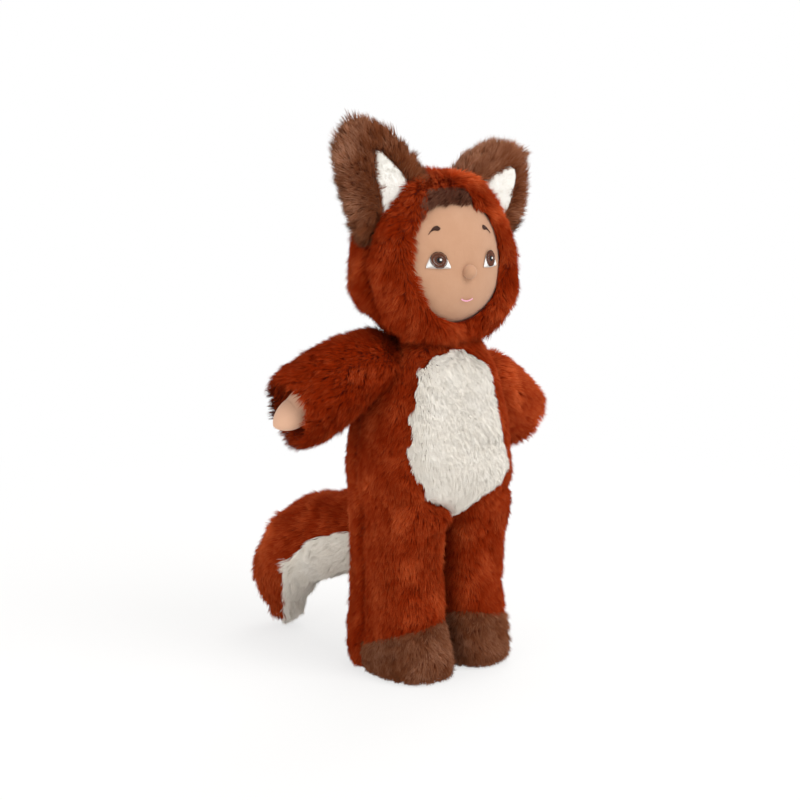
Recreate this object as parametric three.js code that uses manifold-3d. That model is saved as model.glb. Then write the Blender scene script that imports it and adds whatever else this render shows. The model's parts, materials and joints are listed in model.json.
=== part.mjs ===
// A soft cloth doll in a hooded fox suit of long-pile plush, standing on its own feet.
// The doll is a stuffed trunk, neck, head, two arms with mitten hands and two legs. The suit is sewn from
// panels: front and back of the body and of each leg, a pale belly, toe caps, soles, sleeves, a hood in two
// panels, two lined ears, and a tail with a pale underside.
// Millimetres, +Z up. The doll faces -Y, so its right hand is on the -X side.
import * as THREE from "three";
import { mergeVertices } from "three/addons/utils/BufferGeometryUtils.js";
import Module from "manifold-3d";

const wasm = await Module();
wasm.setup();

// Driving dimensions of the whole toy
const SEAM_GAP = 0.4; // between pieces that touch
const SUIT_WALL = 8.5; // backing cloth and the pile that stands on it
const SIDE_SEAM_Y = 12; // the side seams run down this plane from armpit to heel
const SPREAD = 400; // half size of a block that only cuts
const CUFF_OVERRUN = 20; // how far a tool that opens a sleeve runs past it
const BALL_SIDES = 20;
const BALL_ROWS = 12;

// Body of the suit: height, half width, reach to the front and to the back
const BODY_LEVELS = [
  [76, 46, 35, 37],
  [98, 49, 40.5, 40],
  [126, 50.5, 45, 41.5],
  [157, 49, 43.5, 40],
  [184, 44, 37, 37],
  [202, 34, 29, 30],
  [212, 22, 20, 22],
];
const BODY_ROUNDNESS = 2.5;

// Belly panel: heights of its two ends, and its side as x and z
const BELLY = {
  bottom: 98,
  top: 211,
  side: [
    [10, 206],
    [25, 198],
    [34, 184],
    [39, 160],
    [39.5, 139],
    [34, 122],
    [20, 109],
  ],
};

// Neck: a stuffed ball that the head turns and nods on
const NECK_Z = 206;
const NECK_RADIUS = 16;
const HEAD_NOD = THREE.MathUtils.degToRad(10);
const HEAD_LIFT = 1.6; // room under head and hood, over the neck's middle
const SHOULDER_SLOPE = 0.16; // fall of the shoulder line for each millimetre away from the neck
const SHOULDER_LIFT = 1; // height of the shoulder line over the neck's middle

// Hood and head are the same kind of rounded form, one inside the other
const HEAD = { z: 257, halfWidth: 44.5, front: 37.2, back: 37, halfHeight: 43, roundness: 2.35, jowl: 0.09 };
const HOOD = { z: 257, halfWidth: 53.5, front: 46.5, back: 45, halfHeight: 53, roundness: 2.4, jowl: 0.09 };
const HOOD_SEAM_Y = 5;
const HOOD_SIDES = 28;
const HOOD_ROWS = 13;
const FACE = { z: 256.5, halfWidth: 34, halfHeight: 36.5, widening: 0.12, depthY: -5 };
const FACE_FALL = 0.067; // the face sinks by this towards the doll's left, for each millimetre
const HAIR = { left: 9, right: -22, bottom: 287, top: 304, depthY: -12 };
const HOOD_CLEARANCE = 1; // room round the hood for the sleeves

// Face: small stitched pieces that stand proud of the head cloth
const STITCH = 0.9;
const EYE = { x: 19.6, z: 259.2, iris: 4.9 };
const EYE_WHITE = { halfWidth: 6.4, halfWidthTop: 4.4, rise: 2, drop: 4.9 };
const BROW = { inner: [16.7, 277], outer: [22.8, 274.3], halfHeight: 1.2, arch: 1.6 };
const MOUTH = { z: 235.3, halfWidth: 4.4, halfHeight: 0.7, sag: 1.3 };
const NOSE = { z: 252.2, radius: 4.3, standOff: 1 };

// Legs: rounded columns that turn on the hip axis, which runs along X
const HIP_Z = 82;
const HIP_RADIUS = 38.5;
const HIP_SWING = THREE.MathUtils.degToRad(60);
const HIP_ROOM_TOP = 12; // height over the hip axis to which the body leaves room for the legs
const LEG_X = 23.9;
const LEG_LEVELS = [
  [0, 19.5, 31, 32],
  [3, 21.8, 35, 36],
  [10, 23.2, 38, 39],
  [22, 23.4, 37, 40],
  [38, 23, 32, 39],
  [60, 22.8, 29, 38],
  [92, 23.2, 30, 38],
  [126, 23.2, 31, 38],
];
const LEG_ROUNDNESS = 2.7;
const SOLE_THICKNESS = 3;
const TOE_CAP = { frontZ: 37, seamZ: 19.5, reach: 37 };

// Arms: a sleeve on a round shoulder, in the arm's own frame with the arm along +X
const SHOULDER = { x: 43, y: 3, radius: 23 };
const SLEEVE = { length: 57, rootRadius: 23, swell: 5.5, cuffRadius: 26.5, tuck: 2.6 };
const CUFF = { bore: 15.5, flare: 1, depth: 24 };
const ARM = { radius: 12, wrist: 56, handRadius: 9.5, handWidth: 12, reach: 68, fullest: 0.4 };
const RIGHT_ARM = { z: 190, back: THREE.MathUtils.degToRad(11), droop: THREE.MathUtils.degToRad(21) };
const LEFT_ARM = { z: 183, back: THREE.MathUtils.degToRad(18), droop: THREE.MathUtils.degToRad(45) };
const LOWEST_DROOP = THREE.MathUtils.degToRad(50);

// Ears: leaf-shaped, in the ear's own frame with the base on X and the tip along +Z
const EAR = { halfWidth: 30, height: 54, halfThickness: 7.5, root: 14, cup: 7, roundness: 2.3, taper: 0.12 };
const EAR_FOLD = THREE.MathUtils.degToRad(25);
const EAR_CLEARANCE = 1.5; // room between an ear and the hood
const LINING = { bottom: -12, thickness: 3.2, dish: 5 };
const RIGHT_EAR = {
  place: { x: -35, y: 3, z: 292, lean: -0.36, turn: -0.25, tilt: 0 },
  lining: { low: -2, high: 16, tip: [6.3, 33] },
};
const LEFT_EAR = {
  place: { x: 38, y: 5, z: 283, lean: 0.96, turn: -0.2, tilt: -0.12 },
  lining: { low: -12, high: 15.5, tip: [-2, 37.5] },
};

// Tail: a stuffed tube in the tail's own frame, where it leaves the ball at its root along +X and hangs
const TAIL_ROOT = { y: 46, z: 86, radius: 23, heading: THREE.MathUtils.degToRad(110) };
const TAIL_LINE = [
  [4, -2, 21],
  [26, -13, 26],
  [49, -22, 26.5],
  [69, -37, 24],
  [79, -57, 20],
  [78, -78, 12],
];
const TAIL_GROOVE = { gap: 1.5, frontY: -16 }; // way that a leg leaves for the tail's root as it swings
const TAIL_SEAM = { frontX: -60, rootZ: -6, tipInset: 4, low: -120 }; // between rust top and pale underside

const PLUSH = {
  rust: new THREE.MeshStandardMaterial({ color: 0x8a3414, roughness: 0.95, metalness: 0 }),
  brown: new THREE.MeshStandardMaterial({ color: 0x73482f, roughness: 0.95, metalness: 0 }),
  cream: new THREE.MeshStandardMaterial({ color: 0xe2d9c8, roughness: 0.95, metalness: 0 }),
  hair: new THREE.MeshStandardMaterial({ color: 0x4c2c20, roughness: 0.95, metalness: 0 }),
};
const CLOTH = {
  skin: new THREE.MeshStandardMaterial({ color: 0xd3a181, roughness: 0.85, metalness: 0 }),
  lining: new THREE.MeshStandardMaterial({ color: 0xefebdf, roughness: 0.9, metalness: 0 }),
};
const THREAD = {
  white: new THREE.MeshStandardMaterial({ color: 0xf2f2f2, roughness: 0.6, metalness: 0 }),
  brown: new THREE.MeshStandardMaterial({ color: 0x3f2419, roughness: 0.6, metalness: 0 }),
  pink: new THREE.MeshStandardMaterial({ color: 0xdf9fb0, roughness: 0.6, metalness: 0 }),
};

const vector = (x, y, z) => new THREE.Vector3(x, y, z);

// Solids and geometries

function solidOf(geometry) {
  const bare = geometry.clone();
  bare.deleteAttribute("normal");
  bare.deleteAttribute("uv");
  const merged = mergeVertices(bare, 1e-4);
  return new wasm.Manifold(
    new wasm.Mesh({
      numProp: 3,
      vertProperties: merged.attributes.position.array,
      triVerts: new Uint32Array(merged.index.array),
    }),
  );
}

function geometryOf(solid) {
  const mesh = solid.getMesh();
  const geometry = new THREE.BufferGeometry();
  geometry.setAttribute("position", new THREE.BufferAttribute(new Float32Array(mesh.vertProperties), 3));
  geometry.setIndex(new THREE.BufferAttribute(new Uint32Array(mesh.triVerts), 1));
  geometry.computeVertexNormals();
  return geometry;
}

const cut = (solid, ...tools) => tools.reduce((left, tool) => left.subtract(tool), solid);

// The piece itself, without slivers that two cuts have left between them.
const mainBody = (solid) => solid.decompose().sort((one, other) => other.volume() - one.volume())[0];

const moved = (solid, matrix) => solidOf(geometryOf(solid).applyMatrix4(matrix));

function block(low, high) {
  const size = vector(...high).sub(vector(...low));
  const geometry = new THREE.BoxGeometry(size.x, size.y, size.z);
  geometry.translate(low[0] + size.x / 2, low[1] + size.y / 2, low[2] + size.z / 2);
  return solidOf(geometry);
}

function ball(centre, radius) {
  const geometry = new THREE.SphereGeometry(radius, BALL_SIDES, BALL_ROWS);
  geometry.translate(centre.x, centre.y, centre.z);
  return solidOf(geometry);
}

// Hollow for a ball, large enough that even the middle of each of its flats stays off the ball.
function roomForBall(centre, radius) {
  const flats = Math.cos(Math.PI / BALL_SIDES) * Math.cos(Math.PI / (2 * BALL_ROWS));
  return ball(centre, (radius + SEAM_GAP) / flats);
}

// A plane shape on XZ, drawn with z as its second coordinate, run along Y from near to far.
function alongY(shape, near, far, steps = 12) {
  const geometry = new THREE.ExtrudeGeometry(shape, {
    depth: far - near,
    bevelEnabled: false,
    curveSegments: steps,
  });
  geometry.rotateX(Math.PI / 2);
  geometry.translate(0, far, 0);
  return solidOf(geometry);
}

// Closed skin over rings that all have the same number of points, each end shut by a fan.
function closedLoft(rings) {
  const sides = rings[0].length;
  const middle = (ring) =>
    ring.reduce((sum, point) => sum.add(point), vector(0, 0, 0)).divideScalar(sides);
  const ends = [middle(rings[0]), middle(rings.at(-1))];
  const positions = [...rings.flat(), ...ends].flatMap((point) => point.toArray());
  const first = rings.length * sides;
  const last = first + 1;
  const topRow = (rings.length - 1) * sides;
  const index = [];
  for (let side = 0; side < sides; side += 1) {
    const next = (side + 1) % sides;
    index.push(first, next, side, last, topRow + side, topRow + next);
    for (let row = 0; row < topRow; row += sides) {
      index.push(row + side, row + next, row + sides + next);
      index.push(row + side, row + sides + next, row + sides + side);
    }
  }
  const geometry = new THREE.BufferGeometry();
  geometry.setAttribute("position", new THREE.Float32BufferAttribute(positions, 3));
  geometry.setIndex(index);
  return geometry;
}

// Ring of a rounded section: roundness 2 is an ellipse, more is squarer. front and back lie on -Y and +Y.
function section(centre, halfWidth, front, back, roundness, sides) {
  return Array.from({ length: sides }, (_, side) => {
    const angle = (2 * Math.PI * side) / sides;
    const [across, deep] = [Math.cos(angle), Math.sin(angle)];
    const reach = deep < 0 ? front : back;
    const span = (Math.abs(across) / halfWidth) ** roundness + (Math.abs(deep) / reach) ** roundness;
    const radius = span ** (-1 / roundness);
    return vector(centre.x + radius * across, centre.y + radius * deep, centre.z);
  });
}

// Smooth values between the rows of a table whose first column is the height.
function between(levels, count) {
  const columns = [1, 2, 3].map((column) => {
    const points = levels.map((row) => new THREE.Vector2(row[0], row[column]));
    return new THREE.SplineCurve(points);
  });
  return Array.from({ length: count }, (_, step) => {
    const share = step / (count - 1);
    const values = columns.map((curve) => curve.getPoint(share));
    return [values[0].x, ...values.map((value) => value.y)];
  });
}

// A standing stuffed form from a table of levels, made thinner all round by inset.
function standingForm(levels, { x = 0, inset = 0, roundness, sides, count }) {
  const rings = between(levels, count).map(([z, halfWidth, front, back]) =>
    section(vector(x, 0, z), halfWidth - inset, front - inset, back - inset, roundness, sides),
  );
  return solidOf(closedLoft(rings));
}

// A rounded head-like form, grown or shrunk all round.
function roundForm({ z, halfWidth, front, back, halfHeight, roundness, jowl }, grown, sides, count) {
  const rings = Array.from({ length: count }, (_, step) => {
    const lift = -Math.cos((Math.PI * (step + 0.5)) / count);
    const share = (1 - Math.abs(lift) ** roundness) ** (1 / roundness) * (1 - jowl * lift);
    const centre = vector(0, 0, z + (halfHeight + grown) * lift);
    const reach = [halfWidth, front, back].map((half) => (half + grown) * share);
    return section(centre, ...reach, 2, sides);
  });
  return solidOf(closedLoft(rings));
}

// Cutting tools that several pieces share

const hipCylinder = (radius) => {
  const geometry = new THREE.CylinderGeometry(radius, radius, 2 * SPREAD, 40);
  geometry.rotateZ(Math.PI / 2);
  geometry.translate(0, 0, HIP_Z);
  return solidOf(geometry);
};

// Room that a leg sweeps through: its own slab below the hip axis, turned forward by an angle.
function legSlab(angle, top) {
  const slab = block([-SPREAD, -HIP_RADIUS, -SPREAD], [SPREAD, HIP_RADIUS, top]);
  const turn = new THREE.Matrix4().makeRotationX(-angle);
  return moved(slab, turn.premultiply(new THREE.Matrix4().makeTranslation(0, 0, HIP_Z)));
}

// Everything above the shoulder line, or above the steeper line that the hood needs when the head nods.
function aboveShoulders(extraSlope, lift) {
  const outer = 120;
  const height = (radius) => NECK_Z + lift + (extraSlope - SHOULDER_SLOPE) * radius;
  const profile = [
    new THREE.Vector2(0, height(0)),
    new THREE.Vector2(outer, height(outer)),
    new THREE.Vector2(outer, NECK_Z + SPREAD),
    new THREE.Vector2(0, NECK_Z + SPREAD),
  ];
  const geometry = new THREE.LatheGeometry(profile, 24);
  geometry.rotateX(Math.PI / 2);
  return solidOf(geometry);
}

const neckCentre = vector(0, 0, NECK_Z);
const tailRootCentre = vector(0, TAIL_ROOT.y, TAIL_ROOT.z);
const frontOf = (y, gap = 0) => block([-SPREAD, -SPREAD, -SPREAD], [SPREAD, y - gap, SPREAD]);
const backOf = (y, gap = 0) => block([-SPREAD, y + gap, -SPREAD], [SPREAD, SPREAD, SPREAD]);
const leftHalf = block([0, -SPREAD, -SPREAD], [SPREAD, SPREAD, SPREAD]);
const rightHalf = block([-SPREAD, -SPREAD, -SPREAD], [0, SPREAD, SPREAD]);

// Arms

const armMatrix = (side, { z, back, droop }) => {
  const turn = new THREE.Euler(0, side * droop, side > 0 ? back : Math.PI - back, "YZX");
  const place = vector(side * SHOULDER.x, SHOULDER.y, z);
  const matrix = new THREE.Matrix4().makeRotationFromEuler(turn);
  return matrix.setPosition(place);
};

// Sleeve outside, from the round shoulder to the cuff, with the pile swelling a little before the cuff.
function sleeveForm(grown) {
  const rings = 7;
  const sides = 20;
  const tube = Array.from({ length: rings }, (_, step) => {
    const share = step / (rings - 1);
    const taper = THREE.MathUtils.lerp(SLEEVE.rootRadius, SLEEVE.cuffRadius, share);
    const tuck = step === rings - 1 ? SLEEVE.tuck : 0;
    const radius = taper + SLEEVE.swell * Math.sin(Math.PI * share) - tuck + grown;
    const x = SLEEVE.length * share;
    return Array.from({ length: sides }, (_, side) => {
      const angle = (2 * Math.PI * side) / sides;
      return vector(x, radius * Math.cos(angle), radius * Math.sin(angle));
    });
  });
  return solidOf(closedLoft(tube)).add(ball(vector(0, 0, 0), SHOULDER.radius + grown));
}

// Stuffed arm that narrows at the wrist and ends in a flattened mitten.
function armForm(grown) {
  const sides = 14;
  const stations = [
    [-8, 0.6],
    [-4, 0.92],
    [6, 1],
    [30, 1],
    [50, 0.86],
  ];
  const limb = stations.map(([x, share]) => [x, ARM.radius * share, ARM.radius * share]);
  const handSteps = 6;
  for (let step = 0; step <= handSteps; step += 1) {
    const share = step / handSteps;
    const fromFullest = (share - ARM.fullest) / (1 - ARM.fullest);
    const fullness = Math.sqrt(Math.max(0.03, 1 - fromFullest ** 2));
    const x = THREE.MathUtils.lerp(ARM.wrist, ARM.reach, share);
    limb.push([x, ARM.handWidth * fullness, ARM.handRadius * fullness]);
  }
  const rings = limb.map(([x, wide, high]) =>
    Array.from({ length: sides }, (_, side) => {
      const angle = (2 * Math.PI * side) / sides;
      return vector(x, (wide + grown) * Math.cos(angle), (high + grown) * Math.sin(angle));
    }),
  );
  return solidOf(closedLoft(rings));
}

function sleeve(place) {
  const profile = [
    new THREE.Vector2(0, 0),
    new THREE.Vector2(CUFF.bore, 0),
    new THREE.Vector2(CUFF.bore + CUFF.flare, CUFF.depth + CUFF_OVERRUN),
    new THREE.Vector2(0, CUFF.depth + CUFF_OVERRUN),
  ];
  const mouth = new THREE.LatheGeometry(profile, 20);
  mouth.rotateZ(-Math.PI / 2);
  mouth.translate(SLEEVE.length - CUFF.depth, 0, 0);
  const hood = moved(roundForm(HOOD, HOOD_CLEARANCE, HOOD_SIDES, HOOD_ROWS), place.clone().invert());
  const neck = moved(roomForBall(neckCentre, NECK_RADIUS), place.clone().invert());
  return cut(sleeveForm(0), armForm(SEAM_GAP), solidOf(mouth), hood, neck);
}

// Body of the suit and the doll's trunk

function bodyForm(inset, sides, count) {
  return standingForm(BODY_LEVELS, { inset, roundness: BODY_ROUNDNESS, sides, count });
}

function clearOfLimbs(solid) {
  const arms = [
    [-1, RIGHT_ARM],
    [1, LEFT_ARM],
  ];
  const shoulders = arms.map(([side, { z }]) =>
    roomForBall(vector(side * SHOULDER.x, SHOULDER.y, z), SHOULDER.radius),
  );
  const lowArms = arms.map(([side, pose]) =>
    moved(sleeveForm(SEAM_GAP), armMatrix(side, { ...pose, droop: LOWEST_DROOP })),
  );
  return cut(
    solid,
    ...shoulders,
    ...lowArms,
    hipCylinder(HIP_RADIUS + SEAM_GAP),
    legSlab(0, HIP_ROOM_TOP),
    legSlab(HIP_SWING, 0),
    aboveShoulders(0, SHOULDER_LIFT),
    roomForBall(neckCentre, NECK_RADIUS),
    roomForBall(tailRootCentre, TAIL_ROOT.radius),
  );
}

// Belly panel: an egg with its pointed end down at the crotch.
function bellyOutline(grown) {
  const half = BELLY.side.map(([x, z]) => new THREE.Vector2(x + grown, z));
  const mirror = [...half].reverse().map((point) => new THREE.Vector2(-point.x, point.y));
  const bottom = new THREE.Vector2(0, BELLY.bottom - grown);
  const top = new THREE.Vector2(0, BELLY.top + grown);
  const shape = new THREE.Shape();
  shape.moveTo(bottom.x, bottom.y);
  shape.splineThru([...mirror, top, ...half, bottom]);
  return alongY(shape, -SPREAD, 0, 6);
}

function bodyPieces() {
  const trunk = clearOfLimbs(bodyForm(SUIT_WALL + SEAM_GAP, 18, 7));
  const shell = clearOfLimbs(cut(bodyForm(0, 28, 9), bodyForm(SUIT_WALL, 18, 7)));
  const front = shell.intersect(frontOf(SIDE_SEAM_Y, SEAM_GAP / 2));
  return {
    doll_torso: [trunk, CLOTH.skin],
    suit_back: [shell.intersect(backOf(SIDE_SEAM_Y, SEAM_GAP / 2)), PLUSH.rust],
    suit_side_right: [mainBody(cut(front, bellyOutline(SEAM_GAP), leftHalf)), PLUSH.rust],
    suit_side_left: [mainBody(cut(front, bellyOutline(SEAM_GAP), rightHalf)), PLUSH.rust],
    belly_panel: [front.intersect(bellyOutline(0)), PLUSH.cream],
  };
}

// Legs, drawn on the -X side and mirrored for the other

function legForm(inset, sides, count) {
  return standingForm(LEG_LEVELS, { x: -LEG_X, inset, roundness: LEG_ROUNDNESS, sides, count });
}

// Leaves a leg round above the hip axis, with a groove in which it passes under the root of the tail.
function underHip(solid) {
  const above = block([-SPREAD, -SPREAD, HIP_Z], [SPREAD, SPREAD, SPREAD]);
  const ring = new THREE.TorusGeometry(TAIL_ROOT.y, TAIL_ROOT.radius + TAIL_GROOVE.gap, 14, 36);
  ring.rotateY(Math.PI / 2);
  ring.translate(0, 0, HIP_Z);
  const upperBack = block([-SPREAD, TAIL_GROOVE.frontY, HIP_Z], [SPREAD, SPREAD, SPREAD]);
  const groove = solidOf(ring).intersect(upperBack);
  const root = roomForBall(tailRootCentre, TAIL_ROOT.radius);
  return cut(solid, cut(above, hipCylinder(HIP_RADIUS)), groove, root);
}

// Room in front of the side seam and under the sloping top edge of the toe cap.
function toeCapRoom(grown) {
  const slope = (TOE_CAP.frontZ - TOE_CAP.seamZ) / (SIDE_SEAM_Y + TOE_CAP.reach);
  const [front, low] = [-2 * TOE_CAP.reach, -TOE_CAP.reach];
  const shape = new THREE.Shape();
  shape.moveTo(SIDE_SEAM_Y, low);
  shape.lineTo(SIDE_SEAM_Y, TOE_CAP.seamZ + grown);
  shape.lineTo(front, TOE_CAP.seamZ + grown + slope * (SIDE_SEAM_Y - front));
  shape.lineTo(front, low);
  shape.closePath();
  const geometry = new THREE.ExtrudeGeometry(shape, { depth: 2 * SPREAD, bevelEnabled: false });
  geometry.rotateX(Math.PI / 2);
  geometry.rotateZ(Math.PI / 2);
  geometry.translate(-SPREAD, 0, 0);
  return solidOf(geometry);
}

function legPieces() {
  const core = underHip(legForm(SUIT_WALL + SEAM_GAP, 14, 7));
  const outside = legForm(0, 26, 11);
  const soleRoom = block([-SPREAD, -SPREAD, -SPREAD], [SPREAD, SPREAD, SOLE_THICKNESS]);
  const overSole = block([-SPREAD, -SPREAD, SOLE_THICKNESS + SEAM_GAP], [SPREAD, SPREAD, SPREAD]);
  const shell = underHip(cut(outside, legForm(SUIT_WALL, 14, 7))).intersect(overSole);
  const front = shell.intersect(frontOf(SIDE_SEAM_Y, SEAM_GAP / 2));
  return {
    doll_leg: [core.intersect(overSole), CLOTH.skin],
    trouser_back: [shell.intersect(backOf(SIDE_SEAM_Y, SEAM_GAP / 2)), PLUSH.rust],
    trouser_front: [cut(front, toeCapRoom(SEAM_GAP)), PLUSH.rust],
    toe_cap: [front.intersect(toeCapRoom(0)), PLUSH.brown],
    sole: [outside.intersect(soleRoom), PLUSH.brown],
  };
}

// Head, hood and face

// The face isn't level: it sinks evenly from the doll's right to its left.
const fallen = (solid) => moved(solid, new THREE.Matrix4().makeShear(0, -FACE_FALL, 0, 0, 0, 0));

function faceOutline(grown) {
  const shape = new THREE.Shape();
  const steps = 30;
  for (let step = 0; step < steps; step += 1) {
    const angle = (2 * Math.PI * step) / steps;
    const rise = Math.sin(angle);
    const x = (FACE.halfWidth + grown) * Math.cos(angle) * (1 + FACE.widening * rise);
    const z = FACE.z + (FACE.halfHeight + grown) * rise;
    if (step === 0) shape.moveTo(x, z);
    else shape.lineTo(x, z);
  }
  shape.closePath();
  return fallen(alongY(shape, -SPREAD, FACE.depthY));
}

function hairRoom(grown) {
  const { left, right, bottom, top } = HAIR;
  const crown = (left + right) / 2;
  const shape = new THREE.Shape();
  shape.moveTo(right - grown, bottom - grown);
  shape.lineTo(left + grown, bottom - grown);
  shape.quadraticCurveTo(left + grown, top + grown, crown, top + grown);
  shape.quadraticCurveTo(right - grown, top + grown, right - grown, bottom - grown);
  return fallen(alongY(shape, -SPREAD, HAIR.depthY, 4));
}

// Flat outlines of the stitched pieces, on the side of positive x
function discShape(x, z, radius) {
  const shape = new THREE.Shape();
  shape.absarc(x, z, radius, 0, 2 * Math.PI, false);
  return shape;
}

// White of the eye: straight along its lower edge, and narrower above.
function eyeWhiteShape() {
  const { x, z } = EYE;
  const { halfWidth, halfWidthTop, rise, drop } = EYE_WHITE;
  const shape = new THREE.Shape();
  shape.moveTo(x - halfWidth, z - drop);
  shape.lineTo(x + halfWidth, z - drop);
  shape.quadraticCurveTo(x + halfWidthTop, z, x + halfWidthTop, z + rise);
  shape.lineTo(x - halfWidthTop, z + rise);
  shape.quadraticCurveTo(x - halfWidthTop, z, x - halfWidth, z - drop);
  return shape;
}

// Brow: a drop with its round end towards the nose and its point drawn out and down.
function browShape() {
  const { inner, outer, halfHeight, arch } = BROW;
  const [middle, height] = [(inner[0] + outer[0]) / 2, (inner[1] + outer[1]) / 2];
  const shape = new THREE.Shape();
  shape.moveTo(...outer);
  shape.quadraticCurveTo(middle + arch, height + 2 * arch, inner[0], inner[1] + halfHeight);
  shape.quadraticCurveTo(inner[0] - halfHeight, inner[1], inner[0], inner[1] - halfHeight);
  shape.quadraticCurveTo(middle, height, ...outer);
  return shape;
}

function mouthShape() {
  const { z, halfWidth, halfHeight, sag } = MOUTH;
  const shape = new THREE.Shape();
  shape.moveTo(-halfWidth, z + halfHeight);
  shape.quadraticCurveTo(0, z + halfHeight - sag, halfWidth, z + halfHeight);
  shape.lineTo(halfWidth, z);
  shape.quadraticCurveTo(0, z - sag - halfHeight, -halfWidth, z);
  shape.closePath();
  return shape;
}

function facePieces(headSides, headCount) {
  const thread = cut(
    roundForm(HEAD, SEAM_GAP + STITCH, headSides, headCount),
    roundForm(HEAD, SEAM_GAP, headSides, headCount),
  );
  const prism = (shape) => alongY(shape, -SPREAD, FACE.depthY, 5);
  const stitched = (solid) => thread.intersect(fallen(solid));
  const iris = prism(discShape(EYE.x, EYE.z, EYE.iris));
  const white = cut(prism(eyeWhiteShape()), prism(discShape(EYE.x, EYE.z, EYE.iris + SEAM_GAP / 2)));
  const brow = prism(browShape());
  const nose = ball(vector(0, -HEAD.front - NOSE.standOff, NOSE.z), NOSE.radius);
  return {
    nose: [cut(nose, roundForm(HEAD, SEAM_GAP, headSides, headCount)), CLOTH.skin],
    mouth: [stitched(prism(mouthShape())), THREAD.pink],
    iris_left: [stitched(iris), THREAD.brown],
    iris_right: [stitched(mirrored(iris)), THREAD.brown],
    eye_white_left: [stitched(white), THREAD.white],
    eye_white_right: [stitched(mirrored(white)), THREAD.white],
    brow_left: [stitched(brow), THREAD.brown],
    brow_right: [stitched(mirrored(brow)), THREAD.brown],
  };
}

// The same solid on the other side of the toy, with its faces turned outwards again.
function mirrored(solid) {
  const geometry = geometryOf(solid).applyMatrix4(new THREE.Matrix4().makeScale(-1, 1, 1));
  const index = geometry.index.array;
  for (let corner = 0; corner < index.length; corner += 3) {
    [index[corner + 1], index[corner + 2]] = [index[corner + 2], index[corner + 1]];
  }
  return solidOf(geometry);
}

function headPieces() {
  const headSides = 24;
  const headCount = 12;
  const underHead = cut(
    block([-SPREAD, -SPREAD, -SPREAD], [SPREAD, SPREAD, HOOD.z]),
    aboveShoulders(Math.tan(HEAD_NOD), HEAD_LIFT),
  );
  const neckRoom = roomForBall(neckCentre, NECK_RADIUS);
  const head = cut(roundForm(HEAD, 0, headSides, headCount), underHead, neckRoom);
  const shell = cut(
    roundForm(HOOD, 0, HOOD_SIDES, HOOD_ROWS),
    roundForm(HEAD, SEAM_GAP, headSides, headCount),
    underHead,
    neckRoom,
    faceOutline(0),
  );
  const front = shell.intersect(frontOf(HOOD_SEAM_Y, SEAM_GAP / 2));
  return {
    doll_head: [head, CLOTH.skin],
    hood_back: [shell.intersect(backOf(HOOD_SEAM_Y, SEAM_GAP / 2)), PLUSH.rust],
    hood_front: [cut(front, hairRoom(SEAM_GAP)), PLUSH.rust],
    hair_tuft: [front.intersect(hairRoom(0)), PLUSH.hair],
    ...facePieces(headSides, headCount),
  };
}

// Ears

function earMatrix({ x, y, z, lean, turn, tilt }) {
  const rotation = new THREE.Euler(tilt, lean, turn, "ZYX");
  return new THREE.Matrix4().makeRotationFromEuler(rotation).setPosition(vector(x, y, z));
}

// Leaf outline of the ear: half its width at a share of its height.
function earWidth(share) {
  const rounding = Math.sqrt(Math.max(0.02, 1 - share ** EAR.roundness));
  return EAR.halfWidth * rounding * (1 - EAR.taper * share);
}

function earForm() {
  const rows = 9;
  const rings = Array.from({ length: rows }, (_, row) => {
    const share = Math.sin((Math.PI / 2) * (row / (rows - 1)));
    const z = THREE.MathUtils.lerp(-EAR.root, EAR.height, share);
    const halfWidth = earWidth(share);
    const halfThickness = EAR.halfThickness * Math.sqrt(Math.max(0.05, 1 - share ** 6));
    const ring = section(vector(0, 0, z), halfWidth, halfThickness, halfThickness, EAR.roundness, 18);
    return ring.map((point) => point.setY(point.y - EAR.cup * (point.x / EAR.halfWidth) ** 2));
  });
  return solidOf(closedLoft(rings));
}

// Pale lining: a smaller leaf let into the front of the ear.
function liningOutline({ low, high, tip }, grown) {
  const [tipX, tipZ] = [tip[0], tip[1] + grown];
  const shape = new THREE.Shape();
  shape.moveTo(low - grown, LINING.bottom);
  shape.bezierCurveTo(low - grown, tipZ / 2, low - grown, (3 * tipZ) / 4, tipX, tipZ);
  shape.bezierCurveTo(high + grown, (3 * tipZ) / 4, high + grown, tipZ / 2, high + grown, LINING.bottom);
  shape.closePath();
  return shape;
}

function earPieces({ place, lining }) {
  const hoodInEarFrame = moved(roundForm(HOOD, EAR_CLEARANCE, 20, 11), earMatrix(place).invert());
  const foldedHoods = [-EAR_FOLD, 0, EAR_FOLD].map((fold) =>
    moved(hoodInEarFrame, new THREE.Matrix4().makeRotationX(fold)),
  );
  const leaf = mainBody(cut(earForm(), ...foldedHoods));
  const floor = -EAR.halfThickness + LINING.dish;
  const pocket = alongY(liningOutline(lining, SEAM_GAP), -SPREAD, floor, 6);
  const pad = alongY(liningOutline(lining, 0), floor - LINING.thickness, floor - SEAM_GAP, 6);
  return {
    ear_outer: [cut(leaf, pocket), PLUSH.brown],
    ear_lining: [pad.intersect(leaf), CLOTH.lining],
  };
}

// Tail

function tailSpine() {
  const points = TAIL_LINE.map(([x, z]) => vector(x, 0, z));
  return new THREE.CatmullRomCurve3(points, false, "centripetal");
}

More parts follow.
